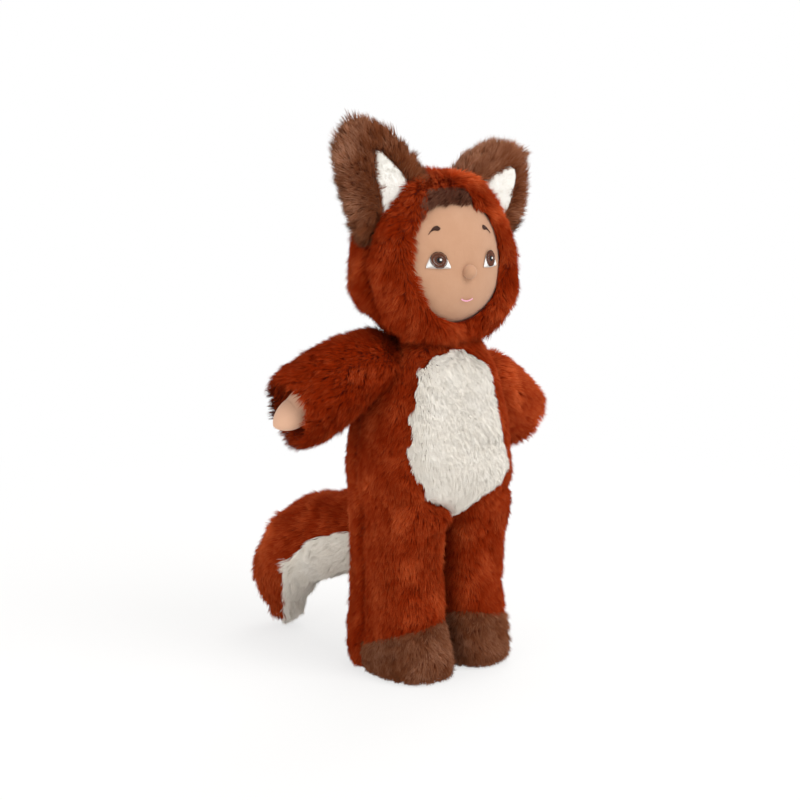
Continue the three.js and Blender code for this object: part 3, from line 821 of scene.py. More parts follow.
@dataclass
class Strands:
    """Strands of pile in the toy's frame: three points each, with their thickness, tone and skin normal."""

    base: Array
    middle: Array
    tip: Array
    radius: Array
    tone: Array
    normals: Array

    # One strand has three corners at its root, three at its bend and its tip, and seven faces
    POINTS = 7
    CORNERS = np.array([0, 2, 1, 0, 1, 4, 3, 1, 2, 5, 4, 2, 0, 3, 5, 3, 4, 6, 4, 5, 6, 5, 3, 6])
    STARTS = np.array([0, 3, 7, 11, 15, 18, 21])
    ACROSS = np.array([0, 2, 1, 0, 1, 1, 0, 1, 2, 2, 1, 2, 3, 3, 2, 0, 1, 0.5, 1, 2, 1.5, 2, 3, 2.5]) / 3
    HEIGHT = np.array([2, 3, 5] + [6, 6, 55, 55] * 3 + [55, 55, 97] * 3) / 100
    COLUMN = 0.016  # width of a strand's strip on the map
    TAPER = 0.8
    NUDGE = 0.01  # keeps the side way off a strand that stands upright

    def some(self, chosen: Array) -> "Strands":
        """Some of the strands."""
        rows = (self.base, self.middle, self.tip, self.radius, self.tone, self.normals)
        return Strands(*(row[chosen] for row in rows))

    def piece(self, name: str, pile: "Pile") -> Thing:
        """A dressed piece with one closed three-sided strand for each row.

        Args:
            name: the piece's name.
            pile: the pile that the strands belong to.

        Returns:
            The piece.
        """
        count, corners_each = len(self.tip), len(self.CORNERS)
        random = random_for(name + " sides")
        forward = unit(self.middle - self.base)
        side = unit(np.cross(forward, self.normals + self.NUDGE))
        other = np.cross(forward, side)
        angle = random.uniform(0, 2 * math.pi, count)[:, None] + 2 * math.pi / 3 * np.arange(3)
        spokes = np.cos(angle)[..., None] * side[:, None] + np.sin(angle)[..., None] * other[:, None]
        reach = self.radius[:, None, None] * spokes
        low = self.base[:, None] + reach
        high = self.middle[:, None] + self.TAPER * reach
        points = np.concatenate([low, high, self.tip[:, None]], axis=1)
        points[..., 2] = np.maximum(points[..., 2], FLOOR_CLEARANCE)
        facing = np.concatenate([spokes, spokes, forward[:, None]], axis=1)
        facing = unit((1 - pile.skin_share) * facing + pile.skin_share * self.normals[:, None])
        mesh = bpy.data.meshes.new(name)
        mesh.vertices.add(count * self.POINTS)
        mesh.loops.add(count * corners_each)
        mesh.polygons.add(count * len(self.STARTS))
        mesh.vertices.foreach_set("co", to_row(points).astype(np.float32).ravel())
        corners = (self.CORNERS + self.POINTS * np.arange(count)[:, None]).astype(np.int32)
        starts = (self.STARTS + corners_each * np.arange(count)[:, None]).astype(np.int32)
        mesh.loops.foreach_set("vertex_index", corners.ravel())
        mesh.polygons.foreach_set("loop_start", starts.ravel())
        mesh.polygons.foreach_set("use_smooth", np.ones(len(mesh.polygons), bool))
        uv = np.empty((count, corners_each, 2), np.float32)
        uv[..., 0] = self.tone[:, None] + self.COLUMN * self.ACROSS
        uv[..., 1] = self.HEIGHT
        mesh.uv_layers.new(name=UV_NAME).data.foreach_set("uv", uv.ravel())
        mesh.update(calc_edges=True)
        mesh.normals_split_custom_set_from_vertices(facing.reshape(-1, 3).astype(np.float32))
        return dress(in_scene(name, mesh), pile.finish)


@dataclass(frozen=True)
class Pile:
    """How the pile of one plush stands on its backing.

    Attributes:
        length, thickness: length of a strand and its width at the root.
        density: strands for each square millimetre.
        root_lean, tip_lean: degrees from upright at the root and towards the tip.
        tuft, gather: distance between tufts and how far strands close up in them, from 0 to 1.
        unruly: how far single strands leave the comb.
        swirl, swirl_size: how far whole patches leave the comb, and their width.
        tone: how pale a strand is on the whole, from 0 to 1.
        glow, glow_size: how much paler some patches are, a painted sheen highlight, and their width.
        skin_share: how far the shading follows the skin and not the strand.
    """

    finish: PileFinish
    length: float = 8.0
    density: float = 2.3
    thickness: float = 0.5
    root_lean: float = 45.0
    tip_lean: float = 70.0
    tuft: float = 2.8
    gather: float = 0.24
    unruly: float = 0.13
    swirl: float = 0.3
    swirl_size: float = 34.0
    tone: float = 0.2
    glow: float = 0.45
    glow_size: float = 22.0
    skin_share: float = 0.75

    ROOT_DEPTH = 0.6
    BEND = 0.48  # share of a strand below its bend
    PATCHES, SMALL_PATCHES, TUFTS = 0.7, 0.35, 0.3  # how far each kind of patch leaves the comb
    VARIETY = 0.12  # of the lengths of strands and of whole tufts
    SHORTEST, LONGEST = 0.6, 1.45
    CLOSING = (0.55, 1.1)  # how evenly the strands of a tuft close up
    BEND_CLOSING = 0.35
    STRAND_TONES, TUFT_TONES, PATCH_TONES = 0.1, 0.08, 0.06
    # painted sheen highlight: where in the field of patches it begins and is full
    GLOWING = (-0.1, 1.7)  # where in the field of patches the glow begins and is full
    RADII = (0.75, 1.2)

    def grow(
        self, name: str, places: Array, normals: Array, comb: Array, trim: Array, pale: Array
    ) -> Strands:
        """Grows a strand at each place.

        Args:
            name: picks the random numbers.
            places: roots on the skin, (n, 3).
            normals: the skin's normals there.
            comb: the way it is combed there.
            trim: share of the full length there.
            pale: painted light and shade, added to the tone there.

        Returns:
            The strands.
        """
        random = random_for(name)
        count = len(places)
        patches = SoftNoise(self.swirl_size, "patches").values(places, 3)
        small = SoftNoise(self.swirl_size / 4, "small patches").values(places, 3)
        tuft_count = max(1, int(count / (self.density * self.tuft**2)))
        leaders = random.choice(count, tuft_count, replace=False)
        tree = KDTree(tuft_count)
        for index, leader in enumerate(leaders):
            tree.insert(places[leader], index)
        tree.balance()
        tuft = np.array([tree.find(place)[1] for place in places])
        shared = random.normal(size=(tuft_count, 3))
        way = unit(along_skin(comb, normals))
        way = way + self.swirl * (
            self.PATCHES * patches + self.SMALL_PATCHES * small + self.TUFTS * shared[tuft]
        )
        way = unit(along_skin(way, normals))
        strays = self.unruly * random.normal(size=(count, 3))
        ways = []
        for lean in (self.root_lean, self.tip_lean):
            angle = math.radians(lean)
            ways.append(unit(math.cos(angle) * normals + math.sin(angle) * way + strays))
        stature = 1 + self.VARIETY * random.normal(size=count)
        stature = stature + self.VARIETY * random.normal(size=tuft_count)[tuft]
        length = (self.length * trim * np.clip(stature, self.SHORTEST, self.LONGEST))[:, None]
        base = places - self.ROOT_DEPTH * normals
        middle = base + self.BEND * length * ways[0]
        tip = middle + (1 - self.BEND) * length * ways[1]
        leader_tip = tip[leaders][tuft]
        closing = (self.gather * random.uniform(*self.CLOSING, count))[:, None]
        tip = tip + closing * (leader_tip - tip)
        middle = middle + self.BEND_CLOSING * closing * (middle[leaders][tuft] - middle)
        tone = self.tone + self.STRAND_TONES * random.normal(size=count)
        tone = tone + self.TUFT_TONES * random.normal(size=tuft_count)[tuft]
        # painted sheen highlight in patches, plus the painted light and shade brought in as pale
        glow = SoftNoise(self.glow_size, "glow").values(places)[:, 0]
        tone = tone + pale + self.glow * smoothstep(glow, *self.GLOWING) + self.PATCH_TONES * patches[:, 0]
        tone = np.clip(tone, 0.01, 0.98 - Strands.COLUMN)
        radius = self.thickness / 2 * random.uniform(*self.RADII, count)
        return Strands(base, middle, tip, radius, tone, normals)


def pile_pieces(
    name: str,
    pile: Pile,
    places: Array,
    normals: Array,
    comb: Comb,
    keep: Array,
    trim: Array | float = 1.0,
    pale: Array | float = 0.0,
) -> list[Thing]:
    """Dressed pieces of pile, as many as it takes to keep each small, from the top down.

    Args:
        name: the piece's name.
        pile: how it stands.
        places: roots on the skin.
        normals: the skin's normals there.
        comb: gives the way it is combed.
        keep: which roots to use.
        trim: share of the full length there.
        pale: painted light and shade, added to the tone there.

    Returns:
        The pieces, which ride on nothing yet.
    """
    trim, pale = (np.broadcast_to(value, len(places))[keep] for value in (trim, pale))
    places, normals = places[keep], normals[keep]
    strands = pile.grow(name, places, normals, comb(places, normals), trim, pale)
    count = len(strands.tip)
    parts = np.array_split(np.argsort(-places[:, 2], kind="stable"), math.ceil(count / MOST_STRANDS))
    return [
        strands.some(part).piece(name if len(parts) == 1 else f"{name}_{number}", pile)
        for number, part in enumerate(parts, 1)
    ]


def one_way(way: Sequence[float]) -> Comb:
    """A comb that runs the same way everywhere."""
    return lambda points, normals: np.tile(way, (len(points), 1))


def roots(skin: Skin, pile: Pile, name: str) -> tuple[Array, Array]:
    """Places and normals for the strands of a pile."""
    return skin.spread(pile.density * (1.0), random_for(name))


# Forms


def ring_points(
    centre: Array, half_width: float, front: float, back: float, roundness: float, sides: int
) -> Array:
    """A level ring with its front on -Y.

    Args:
        centre: the ring's centre.
        half_width, front, back: its reach along X, -Y and Y.
        roundness: 2 for an ellipse, more for a squarer ring.
        sides: how many points it has.

    Returns:
        The points.
    """
    across, deep = circle(sides).T
    reach = np.where(deep < 0, front, back)
    span = (np.abs(across) / half_width) ** roundness + (np.abs(deep) / reach) ** roundness
    radius = span ** (-1 / roundness)
    return centre + np.stack([radius * across, radius * deep, np.zeros(sides)], axis=1)


def lumpy(skin: Skin, height: float, width: float, name: str) -> Skin:
    """A skin with soft lumps of stuffing of some height and width."""
    lumps = SoftNoise(width, name).values(skin.points)[:, 0]
    return Skin(skin.points + skin.normals * (height * lumps)[:, None], skin.faces)


@dataclass(frozen=True)
class Swelling:
    """A soft rise of a skin round a place, or a dent where its height is negative."""

    centre: tuple[float, float, float]
    spread: tuple[float, float, float]
    height: float

    def at(self, points: Array) -> Array:
        """How far points rise."""
        return self.height * np.exp(-np.sum(((points - self.centre) / self.spread) ** 2, axis=1))


@dataclass(frozen=True)
class StandingForm:
    """An upright stuffed form.

    Attributes:
        levels: height, half width and reach to the front and to the back, from the bottom up.
        roundness: 2 for elliptical levels, more for squarer ones.
        x: where its own axis stands.
    """

    levels: Table
    roundness: float
    x: float = 0.0

    def loft(self, grown: float, sides: int = 72, count: int = 40) -> Skin:
        """The closed skin.

        Args:
            grown: how much larger it is all round.
            sides: points of each ring.
            count: how many rings there are.

        Returns:
            The skin.
        """
        return lofted(
            [
                ring_points(np.array([self.x, 0.0, row[0]]), *(row[1:] + grown), self.roundness, sides)
                for row in spline(self.levels, count)
            ]
        )

    def level(self, points: Array, grown: float = 0.0) -> Array:
        """Where points lie against the form.

        Args:
            points: the points.
            grown: how much larger the form is all round.

        Returns:
            Below 1 inside and above 1 outside.
        """
        rows = spline(self.levels, 160)
        size = [np.interp(points[:, 2], rows[:, 0], rows[:, column]) + grown for column in (1, 2, 3)]
        reach = np.where(points[:, 1] < 0, size[1], size[2])
        span = np.abs((points[:, 0] - self.x) / size[0]) ** self.roundness
        span = span + np.abs(points[:, 1] / reach) ** self.roundness
        return np.where((points[:, 2] < rows[0, 0]) | (points[:, 2] > rows[-1, 0]), FAR_OUTSIDE, span)


@dataclass(frozen=True)
class RoundForm:
    """A head-like form round a centre on the body's axis, fuller towards the jowl."""

    z: float
    half_width: float
    front: float
    back: float
    half_height: float
    roundness: float
    jowl: float

    @property
    def centre(self) -> Array:
        """The form's centre."""
        return np.array([0.0, 0.0, self.z])

    def level(self, points: Array, grown: float = 0.0) -> Array:
        """Where points lie against the form.

        Args:
            points: the points.
            grown: how much larger the form is all round.

        Returns:
            Below 1 inside and above 1 outside.
        """
        lift = (points[:, 2] - self.z) / (self.half_height + grown)
        inside = np.clip(1 - np.abs(lift) ** self.roundness, 1e-6, None)
        share = inside ** (1 / self.roundness) * (1 - self.jowl * lift)
        reach = np.where(points[:, 1] < 0, self.front, self.back) + grown
        span = (points[:, 0] / (self.half_width + grown)) ** 2 + (points[:, 1] / reach) ** 2
        return np.where(np.abs(lift) >= 1, FAR_OUTSIDE, np.sqrt(span) / share)

    def project(self, ways: Array, grown: float = 0.0) -> Array:
        """The points of the form that lie in some directions from its centre.

        Args:
            ways: the directions, of length 1.
            grown: how far beyond the form the points are taken.

        Returns:
            The points.
        """
        low, high = np.zeros(len(ways)), np.full(len(ways), 100.0)
        for _ in range(32):
            middle = (low + high) / 2
            inside = self.level(self.centre + middle[:, None] * ways) < 1
            low, high = np.where(inside, middle, low), np.where(inside, high, middle)
        return self.centre + (low + grown)[:, None] * ways

    def front_at(self, x: Array, z: Array, grown: float = 0.0) -> Array:
        """The points of the front side at some x and z.

        Args:
            x: where they lie across.
            z: their heights.
            grown: how much larger the form is taken all round.

        Returns:
            The points.
        """
        lift = (z - self.z) / (self.half_height + grown)
        share = (1 - np.abs(lift) ** self.roundness) ** (1 / self.roundness) * (1 - self.jowl * lift)
        deep = np.sqrt(np.clip(1 - (x / ((self.half_width + grown) * share)) ** 2, 0, None))
        return np.stack([x, -(self.front + grown) * share * deep, z], axis=-1)


def clear_of(form: StandingForm | RoundForm, points: Array, depth: float, level: float = 0.8) -> Array:
    """Which points don't lie deeper than depth inside another form, where pile can't be seen."""
    return form.level(points, -depth) > level


HEAD = RoundForm(z=257, half_width=44.5, front=37.2, back=37, half_height=43, roundness=2.35, jowl=0.09)
HOOD = RoundForm(z=257, half_width=53.5, front=46.5, back=45, half_height=53, roundness=2.4, jowl=0.09)
TRUNK = StandingForm(
    levels=(
        (94, 38, 12, 30), (98, 44.5, 18, 36), (105, 47.5, 28, 39.5), (115, 49.8, 39, 41),
        (128, 50.5, 44.5, 41.5), (157, 49, 43.5, 40), (184, 44, 37, 37), (202, 34, 29, 30), (212, 22, 20, 22),
    ),
    roundness=2.5,
)


class Panel(Enum):
    """Panels that the body and legs of the suit are sewn from."""

    BELLY = "belly"
    FRONT = "front"
    BACK = "back"
    TOE = "toe_cap"
    SOLE = "sole"


@dataclass
class SuitBody:
    """Body and trouser legs of the suit, one stuffed form with a fold at each hip.

    Attributes:
        toe_rise: how far a toe cap's top edge rises to the middle, on the right and the left.
        toe_roll, belly_roll: depth and width of the seam round a toe cap and the belly.
        belly_line: the belly panel's outline, an egg with its point down, as x and z.
        lumps: height and width of the lumps of stuffing.
        fold_start, fold_end: where the left leg's fold starts and ends, as x and z.
        sole_rings: height of each ring of a sole, and its reach past the foot's cloth.
    """

    leg_levels: Table = (
        (1.2, 19.5, 31, 32), (4, 21.8, 35, 36), (10, 23.2, 38, 39), (22, 23.4, 37, 40), (38, 23, 32, 39),
        (60, 22.8, 29, 38), (88, 23.4, 32.5, 38), (104, 23, 35.5, 38), (112, 21.5, 34, 36), (119, 16, 26, 28),
    )
    right_foot_levels: Table = (
        (1.2, 21.8, 36, 33), (4, 23.8, 40.5, 37), (10, 24.4, 41.5, 39.5), (22, 23.8, 38.5, 40),
        (38, 23.1, 33, 39.5),
    )
    leg_x: float = 23.9
    leg_roundness: float = 2.7
    pile_depth: float = 4.2
    seam_y: float = 12.0
    seam_depth: float = 4.0
    seam_width: float = 3.2
    ankle_z: float = 60.0
    toe_front_z: float = 37.5
    toe_seam_z: float = 19.0
    toe_reach: float = 38.0
    toe_rise: tuple[float, float] = (5.0, 8.5)
    toe_overlap: float = 2.5
    toe_roll: tuple[float, float] = (1.5, 2.2)
    belly_line: Table = (
        (0, 95), (-5, 99), (-10, 105), (-16, 110), (-23, 113), (-29, 117), (-34.5, 129), (-37.5, 141),
        (-37.5, 154), (-36.5, 168), (-33, 182), (-28.5, 193), (-20, 201), (-7, 204), (5, 205), (13, 200.5),
        (20, 194), (23.5, 185), (23, 172), (25.2, 160), (28.5, 148), (32.3, 137), (36, 127.5), (27.5, 120),
        (16, 114), (8, 108), (4, 101),
    )
    belly_roll: tuple[float, float] = (1.6, 2.4)
    belly_fullness: float = 2.0
    belly_overlap: float = 2.5
    raggedness: float = 0.7
    lumps: tuple[float, float] = (0.7, 38.0)
    swellings: tuple[Swelling, ...] = (
        Swelling((42, -28, 172), (14, 16, 28), -3.0),
        Swelling((46, -18, 108), (18, 22, 16), 3.5),
        Swelling((-44, 26, 142), (22, 22, 34), 2.0),
        Swelling((-20, -33, 103), (7, 14, 6), 5.0),
    )
    fold_start: tuple[float, float] = (4.0, 114.0)
    fold_end: tuple[float, float] = (30.0, 72.0)
    sole_rings: Table = (
        (0.45, -1.2), (0.6, 0.2), (1.1, 1.0), (1.7, 0.8), (2.3, -0.4),
    )
    pile: Pile = Pile(
        RUST_PILE, length=6.2, density=3.1, thickness=0.44, root_lean=32, tip_lean=58, swirl=0.35
    )
    belly_pile: Pile = Pile(
        CREAM_PILE, length=5.2, density=5.6, thickness=0.56, gather=0.06, root_lean=34, tip_lean=60,
        unruly=0.08, swirl=0.3, tone=0.5, glow=0.2, skin_share=0.95,
    )
    toe_pile: Pile = Pile(
        BROWN_PILE, length=6.2, density=3.8, thickness=0.44, unruly=0.18, root_lean=34, tip_lean=58,
        swirl=0.6,
    )

    def belly_depth(self, points: Array) -> Array:
        """How deep points lie inside the belly's outline, or far outside it behind the body's middle."""
        outline = spline([*self.belly_line, self.belly_line[0]], 120)[:-1]
        return np.where(points[:, 1] < 0, outline_depth(points[:, [0, 2]], outline), -50.0)

    def toe_depth(self, points: Array) -> Array:
        """How far points lie under the sloping top edge of a toe cap.

        Args:
            points: points in front of the side seam.

        Returns:
            The depths, negative above the edge.
        """
        slope = (self.toe_front_z - self.toe_seam_z) / (self.seam_y + self.toe_reach)
        inner = np.clip(1 - (np.abs(points[:, 0]) - 3) / 28, 0, 1)
        rise = np.where(points[:, 0] < 0, *self.toe_rise) * inner
        return self.toe_seam_z + rise + slope * (self.seam_y - points[:, 1]) - points[:, 2]

    def skin(self) -> Skin:
        """The backing cloth of body and legs, drawn in along its seams.

        Returns:
            One skin for all three.
        """
        right_levels = self.right_foot_levels + self.leg_levels[len(self.right_foot_levels) :]
        levels = {Side.RIGHT: right_levels, Side.LEFT: self.leg_levels}
        legs = [
            StandingForm(levels[side], self.leg_roundness, side.value * self.leg_x).loft(-self.pile_depth)
            for side in Side
        ]
        voxel = 1.7
        skin = fused([TRUNK.loft(-self.pile_depth), *legs], voxel, smoothing=10)
        points, normals = skin.points, skin.normals
        beside = smoothstep(1 - np.abs(normals[:, 1]), 0.1, 0.4)
        sewn = self.seam_depth * beside * bell(points[:, 1] - self.seam_y, self.seam_width)
        belly = self.belly_depth(points)
        fullness = self.belly_fullness * smoothstep(belly, 2.0, 9.0)
        depth, width = self.belly_roll
        round_belly = depth * bell(belly, width)
        depth, width = self.toe_roll
        capped = (points[:, 1] < self.seam_y) & (points[:, 2] < self.ankle_z)
        round_toe = np.where(capped, depth * bell(self.toe_depth(points), width), 0)
        height, width = self.lumps
        lumps = height * SoftNoise(width, "stuffing").values(points)[:, 0]
        lumps = lumps * smoothstep(points[:, 2], 4, 14)
        lumps = lumps + sum(swelling.at(points) for swelling in self.swellings)
        moved = points + normals * (lumps + fullness - sewn - round_belly - round_toe)[:, None]
        moved[:, 2] = np.maximum(moved[:, 2], 1.0)
        return Skin(moved, skin.faces)

    def fold_points(self, side: Side) -> tuple[Array, Array]:
        """Where a leg's fold starts and ends."""
        (start_x, start_z), (end_x, end_z) = self.fold_start, self.fold_end
        return np.array([side.value * start_x, 0.0, start_z]), np.array([side.value * end_x, 0.0, end_z])

    def comb(self, points: Array, normals: Array) -> Array:
        """Pile falls, and parts along the side seams."""
        away = np.sign(points[:, 1] - self.seam_y) * np.exp(-np.abs(points[:, 1] - self.seam_y) / 4)
        outward = np.sign(points[:, 0])[:, None] * (0.25 * LEFTWARD)
        return DOWN + outward + 0.9 * away[:, None] * BACK

    def belly_comb(self, points: Array, normals: Array) -> Array:
        """The belly's pile falls and keeps inside its seam."""
        inward = -np.sign(points[:, 0]) * smoothstep(-self.belly_depth(points), -9.0, -1.0)
        return DOWN + 0.25 * inward[:, None] * LEFTWARD

    def caught(self, points: Array) -> Array:
        """How far pile is caught in the side seams, short there and with painted crease shade, from 0 to 1.
        """
        return bell(points[:, 1] - self.seam_y, 3.0) * (np.abs(points[:, 0]) > 30)

    def sole_skin(self, side: Side) -> Skin:
        """A flat sole with a rolled edge, as wide as the foot's lowest level.

        Args:
            side: the foot's side.

        Returns:
            The sole's skin.
        """
        levels = self.right_foot_levels if side is Side.RIGHT else self.leg_levels
        sizes = np.array(levels[0][1:]) - self.pile_depth
        rings = []
        for z, past in self.sole_rings:
            centre = np.array([side.value * self.leg_x, 0.0, z])
            rings.append(ring_points(centre, *(sizes + past), self.leg_roundness, 72))
        return lofted(rings)

    def panels(self, points: Array, normals: Array) -> Array:
        """Finds the panel that each point lies on.

        Args:
            points: points of the backing cloth.
            normals: its normals there.

        Returns:
            The panels' names.
        """
        names = np.where(points[:, 1] < self.seam_y, Panel.FRONT.value, Panel.BACK.value).astype(object)
        ragged = self.raggedness * SoftNoise(9, "panel edges").values(points)[:, 0]
        names[self.belly_depth(points) > self.belly_overlap + ragged] = Panel.BELLY.value
        toe = (points[:, 1] < self.seam_y + self.toe_overlap) & (points[:, 2] < self.ankle_z)
        toe &= self.toe_depth(points) > 0.6 * ragged
        names[toe] = Panel.TOE.value
        names[(points[:, 2] < 3) & (normals[:, 2] < -0.7)] = Panel.SOLE.value
        return names

    def build(self) -> None:
        """Makes the cloth of body and legs and their pile, cut apart at each hip's fold."""
        skin = self.skin()
        planes = {}
        for side in Side:
            start, end = self.fold_points(side)
            planes[side] = (start, unit(end - start))
        nodes = ("doll_torso", "suit_back", "suit_side_right", "suit_side_left")
        stuffed("suit_body", cut_by(skin, list(planes.values())), RUST_CLOTH, 0.8, "torso", *nodes)
        for side, (point, normal) in planes.items():
            word = side.word
            middle = (np.zeros(3), -side.value * LEFTWARD)
            leg = cloth_piece(f"trouser_{word}", cut_by(skin, [(point, -normal), middle]), RUST_CLOTH)
            self.hang([leg], side, f"doll_leg_{word}", f"trouser_back_{word}", f"trouser_front_{word}")
            self.hang([cloth_piece(f"sole_{word}", self.sole_skin(side), BROWN_CLOTH)], side, f"sole_{word}")
        self.grow_pile(skin, planes)

    def hang(self, pieces: Sequence[Thing], side: Side, *nodes: str) -> None:
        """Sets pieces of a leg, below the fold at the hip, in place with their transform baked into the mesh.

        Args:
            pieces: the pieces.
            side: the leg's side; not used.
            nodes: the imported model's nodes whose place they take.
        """
        for piece in pieces:
            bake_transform(piece)
            if nodes:
                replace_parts(piece, *nodes)

    def grow_pile(self, skin: Skin, planes: dict[Side, tuple[Array, Array]]) -> None:
        """Grows the pile of every panel, apart for the body and each leg.

        Args:
            skin: the backing cloth.
            planes: where each leg's fold starts, and the normal there, which points into the leg.
        """
        piles = {
            Panel.BELLY: self.belly_pile,
            Panel.FRONT: self.pile,
            Panel.BACK: self.pile,
            Panel.TOE: self.toe_pile,
        }
        for panel, pile in piles.items():
            name = f"{panel.value}_pile"
            places, normals = roots(skin, pile, name)
            mine = self.panels(places, normals) == panel.value
            mine &= clear_of(HOOD, places, 6)
            places, normals = places[mine], normals[mine]
            comb = self.belly_comb if panel is Panel.BELLY else self.comb
            caught = self.caught(places)
            # painted shade: the pile is darker where it is caught in the side seams
            cut = {"trim": 1 - 0.6 * caught, "pale": -0.3 * caught}
            for side, (point, normal) in planes.items():
                half = (places[:, 0] < 0) == (side is Side.RIGHT)
                below = (places - point) @ normal > 0
                on_leg, on_body = half & below, half & ~below
                if on_leg.sum() > FEWEST_STRANDS:
                    word = f"{name}_leg_{side.word}"
                    toe = [f"toe_cap_{side.word}"] if panel is Panel.TOE else []
                    self.hang(pile_pieces(word, pile, places, normals, comb, on_leg, **cut), side, *toe)
                if on_body.sum() > FEWEST_STRANDS:
                    word = f"{name}_{side.word}"
                    belly = ["belly_panel"] if panel is Panel.BELLY else []
                    ride(pile_pieces(word, pile, places, normals, comb, on_body, **cut), "torso", *belly)


SLEEVE_PILE = Pile(
    RUST_PILE, length=7.4, density=3.0, thickness=0.46, root_lean=34, tip_lean=60, swirl=0.45, gather=0.3
)


@dataclass
class Sleeve:
    """A sleeve of the suit with the doll's arm in it, in the arm's own frame, where it runs along +X.

    Attributes:
        back, droop: degrees that the arm points to the back and down.
        rise, forward: how far the cloth of the shoulder is drawn up and to the front.
        cuff_slant: how far the cuff's edge leans, along the arm's own Y and Z.
        limb: place along the arm and its radius there, down to the wrist.
        mitten: where the hand starts, its length, half width and half height.
    """

    side: Side
    z: float
    back: float
    droop: float
    rise: float
    forward: float
    root_radius: float
    shoulder_x: float = 43.0
    shoulder_y: float = 3.0
    length: float = 57.0
    swell: float = 3.0
    cuff_radius: float = 26.0
    rim: float = 5.0
    bore: float = 18.5
    bore_depth: float = 26.0
    hand_sag: float = 4.5
    pile_sag: float = 0.08
    pile_depth: float = 4.2
    cuff_slant: tuple[float, float] = (0.0, 0.0)
    limb: Table = ((-8, 7.5), (-4, 11), (6, 12), (30, 12), (42, 11), (49, 10.6))
    mitten: tuple[float, float, float, float] = (51.5, 16.0, 10.8, 8.8)
    pile: Pile = SLEEVE_PILE
    inner_pile: Pile = Pile(RUST_PILE, length=4.0, density=1.2, root_lean=30, tip_lean=55)

    @property
    def place(self) -> Place:
        """Where the arm's frame lies."""
        sign = self.side.value
        back = math.radians(self.back)
        around = turn_about(2, back if sign > 0 else math.pi - back)
        turn = turn_about(1, sign * math.radians(self.droop)) @ around
        return Place(np.array([sign * self.shoulder_x, self.shoulder_y, self.z]), turn)

    def profile(self) -> list[tuple[float, float]]:
        """The sleeve's half section.

        Returns:
            Places along the arm and radii, from the shoulder's pole over the outside and the cuff to the
            bottom of the bore.
        """
        root = self.root_radius - self.pile_depth
        ball = [(-root * math.cos(a), root * math.sin(a)) for a in np.linspace(0.12, math.pi / 2, 8)]
        share = np.linspace(0.06, 1, 14)
        end = self.length - self.rim
        outer = (1 - share) * self.root_radius + share * self.cuff_radius - self.pile_depth
        outer = outer + self.swell * np.sin(math.pi * share)
        tube = list(zip(end * share, outer))
        middle, half = (outer[-1] + self.bore) / 2, (outer[-1] - self.bore) / 2
        turns = np.linspace(0.3, math.pi - 0.2, 6)
        rim = [(end + 2.2 * math.sin(a), middle + half * math.cos(a)) for a in turns]
        floor = self.length - self.bore_depth
        inner = [(x, self.bore) for x in np.linspace(end, floor, 8)]
        return ball + tube + rim + inner + [(floor - 1.0, self.bore * 0.7), (floor - 1.2, self.bore * 0.3)]

    def turned(self, rows: Sequence[tuple[float, float, float]], sides: int) -> Array:
        """Rings round the arm's own axis.

        Args:
            rows: place along the arm, reach along Y and reach along Z of each ring.
            sides: points of each ring.

        Returns:
            The rings, (rows, sides, 3).
        """
        cos, sin = circle(sides).T
        return np.array(
            [np.stack([np.full(sides, x), wide * cos, high * sin], axis=1) for x, wide, high in rows]
        )

    def skin(self) -> Skin:
        """The sleeve's backing cloth.

        Returns:
            The skin, closed over the cuff's edge and the bottom of its bore.
        """
        own = lofted(self.turned([(x, radius, radius) for x, radius in self.profile()], 72))
        slant = own.points[:, 1:] @ self.cuff_slant / self.cuff_radius
        own.points[:, 0] += slant * smoothstep(own.points[:, 0], 20.0, self.length)
        return lumpy(self.settled(own), 0.8, 30, "sleeve lumps")

    def settled(self, own: Skin) -> Skin:
        """Sets a skin in its place, with the shoulder drawn up.

        Args:
            own: the skin in the arm's frame.

        Returns:
            The skin in the toy's frame.
        """
        skin = own.moved(self.place)
        near_root = 1 - smoothstep(own.points[:, 0], 0.0, self.length)
        return Skin(skin.points + near_root[:, None] * (self.rise * UP - self.forward * BACK), skin.faces)

    def build(self) -> None:
        """Makes the sleeve, its pile outside and inside, and the arm."""
        word = self.side.word
        body = f"arm_{word}"
        skin = self.skin()
        stuffed(f"sleeve_cloth_{word}", skin, RUST_CLOTH, 0.7, body, f"sleeve_{word}")
        floor = self.length - self.bore_depth
        comb = one_way(self.place.way(LEFTWARD) + self.pile_sag * DOWN)
        for name, pile, inside in (("sleeve_pile", self.pile, False), ("cuff_pile", self.inner_pile, True)):
            name = f"{name}_{word}"
            places, normals = roots(skin, pile, name)
            own = self.place.into(places)
            inward = np.sum(own[:, 1:] * (normals @ self.place.turn)[:, 1:], axis=1) < 0
            in_bore = inward & (own[:, 0] > floor - 3)
            keep = in_bore & (own[:, 0] > floor + 6) if inside else ~in_bore
            keep &= clear_of(HOOD, places, 6) & clear_of(TRUNK, places, 14)
            ride(pile_pieces(name, pile, places, normals, comb, keep), body)
        self.build_arm()

    def build_arm(self) -> None:
        """Makes the stuffed arm, which narrows at the wrist and ends in a flattened mitten."""
        rows = [(x, radius, radius) for x, radius in self.limb]
        start, length, wide, high = self.mitten
        for share in np.linspace(0.12, 1, 12):
            fullness = (max(0.0, 1 - max(0.0, (share - 0.1) / 0.9) ** 2) + 0.01) ** 0.7
            rows.append((start + length * share, wide * fullness, high * fullness))
        sag = self.place.turn.T @ DOWN
        rings = [
            ring + self.hand_sag * max(0.0, ring[0, 0] - 40) / 30 * sag
            for ring in self.turned(spline(rows, 46), 40)
        ]
        skin, word = self.settled(lofted(rings)), self.side.word
        stuffed(f"arm_cloth_{word}", skin, HAND_CLOTH_WITH_PAINTED_LIGHT, 0.8, f"arm_{word}", f"doll_arm_{word}")


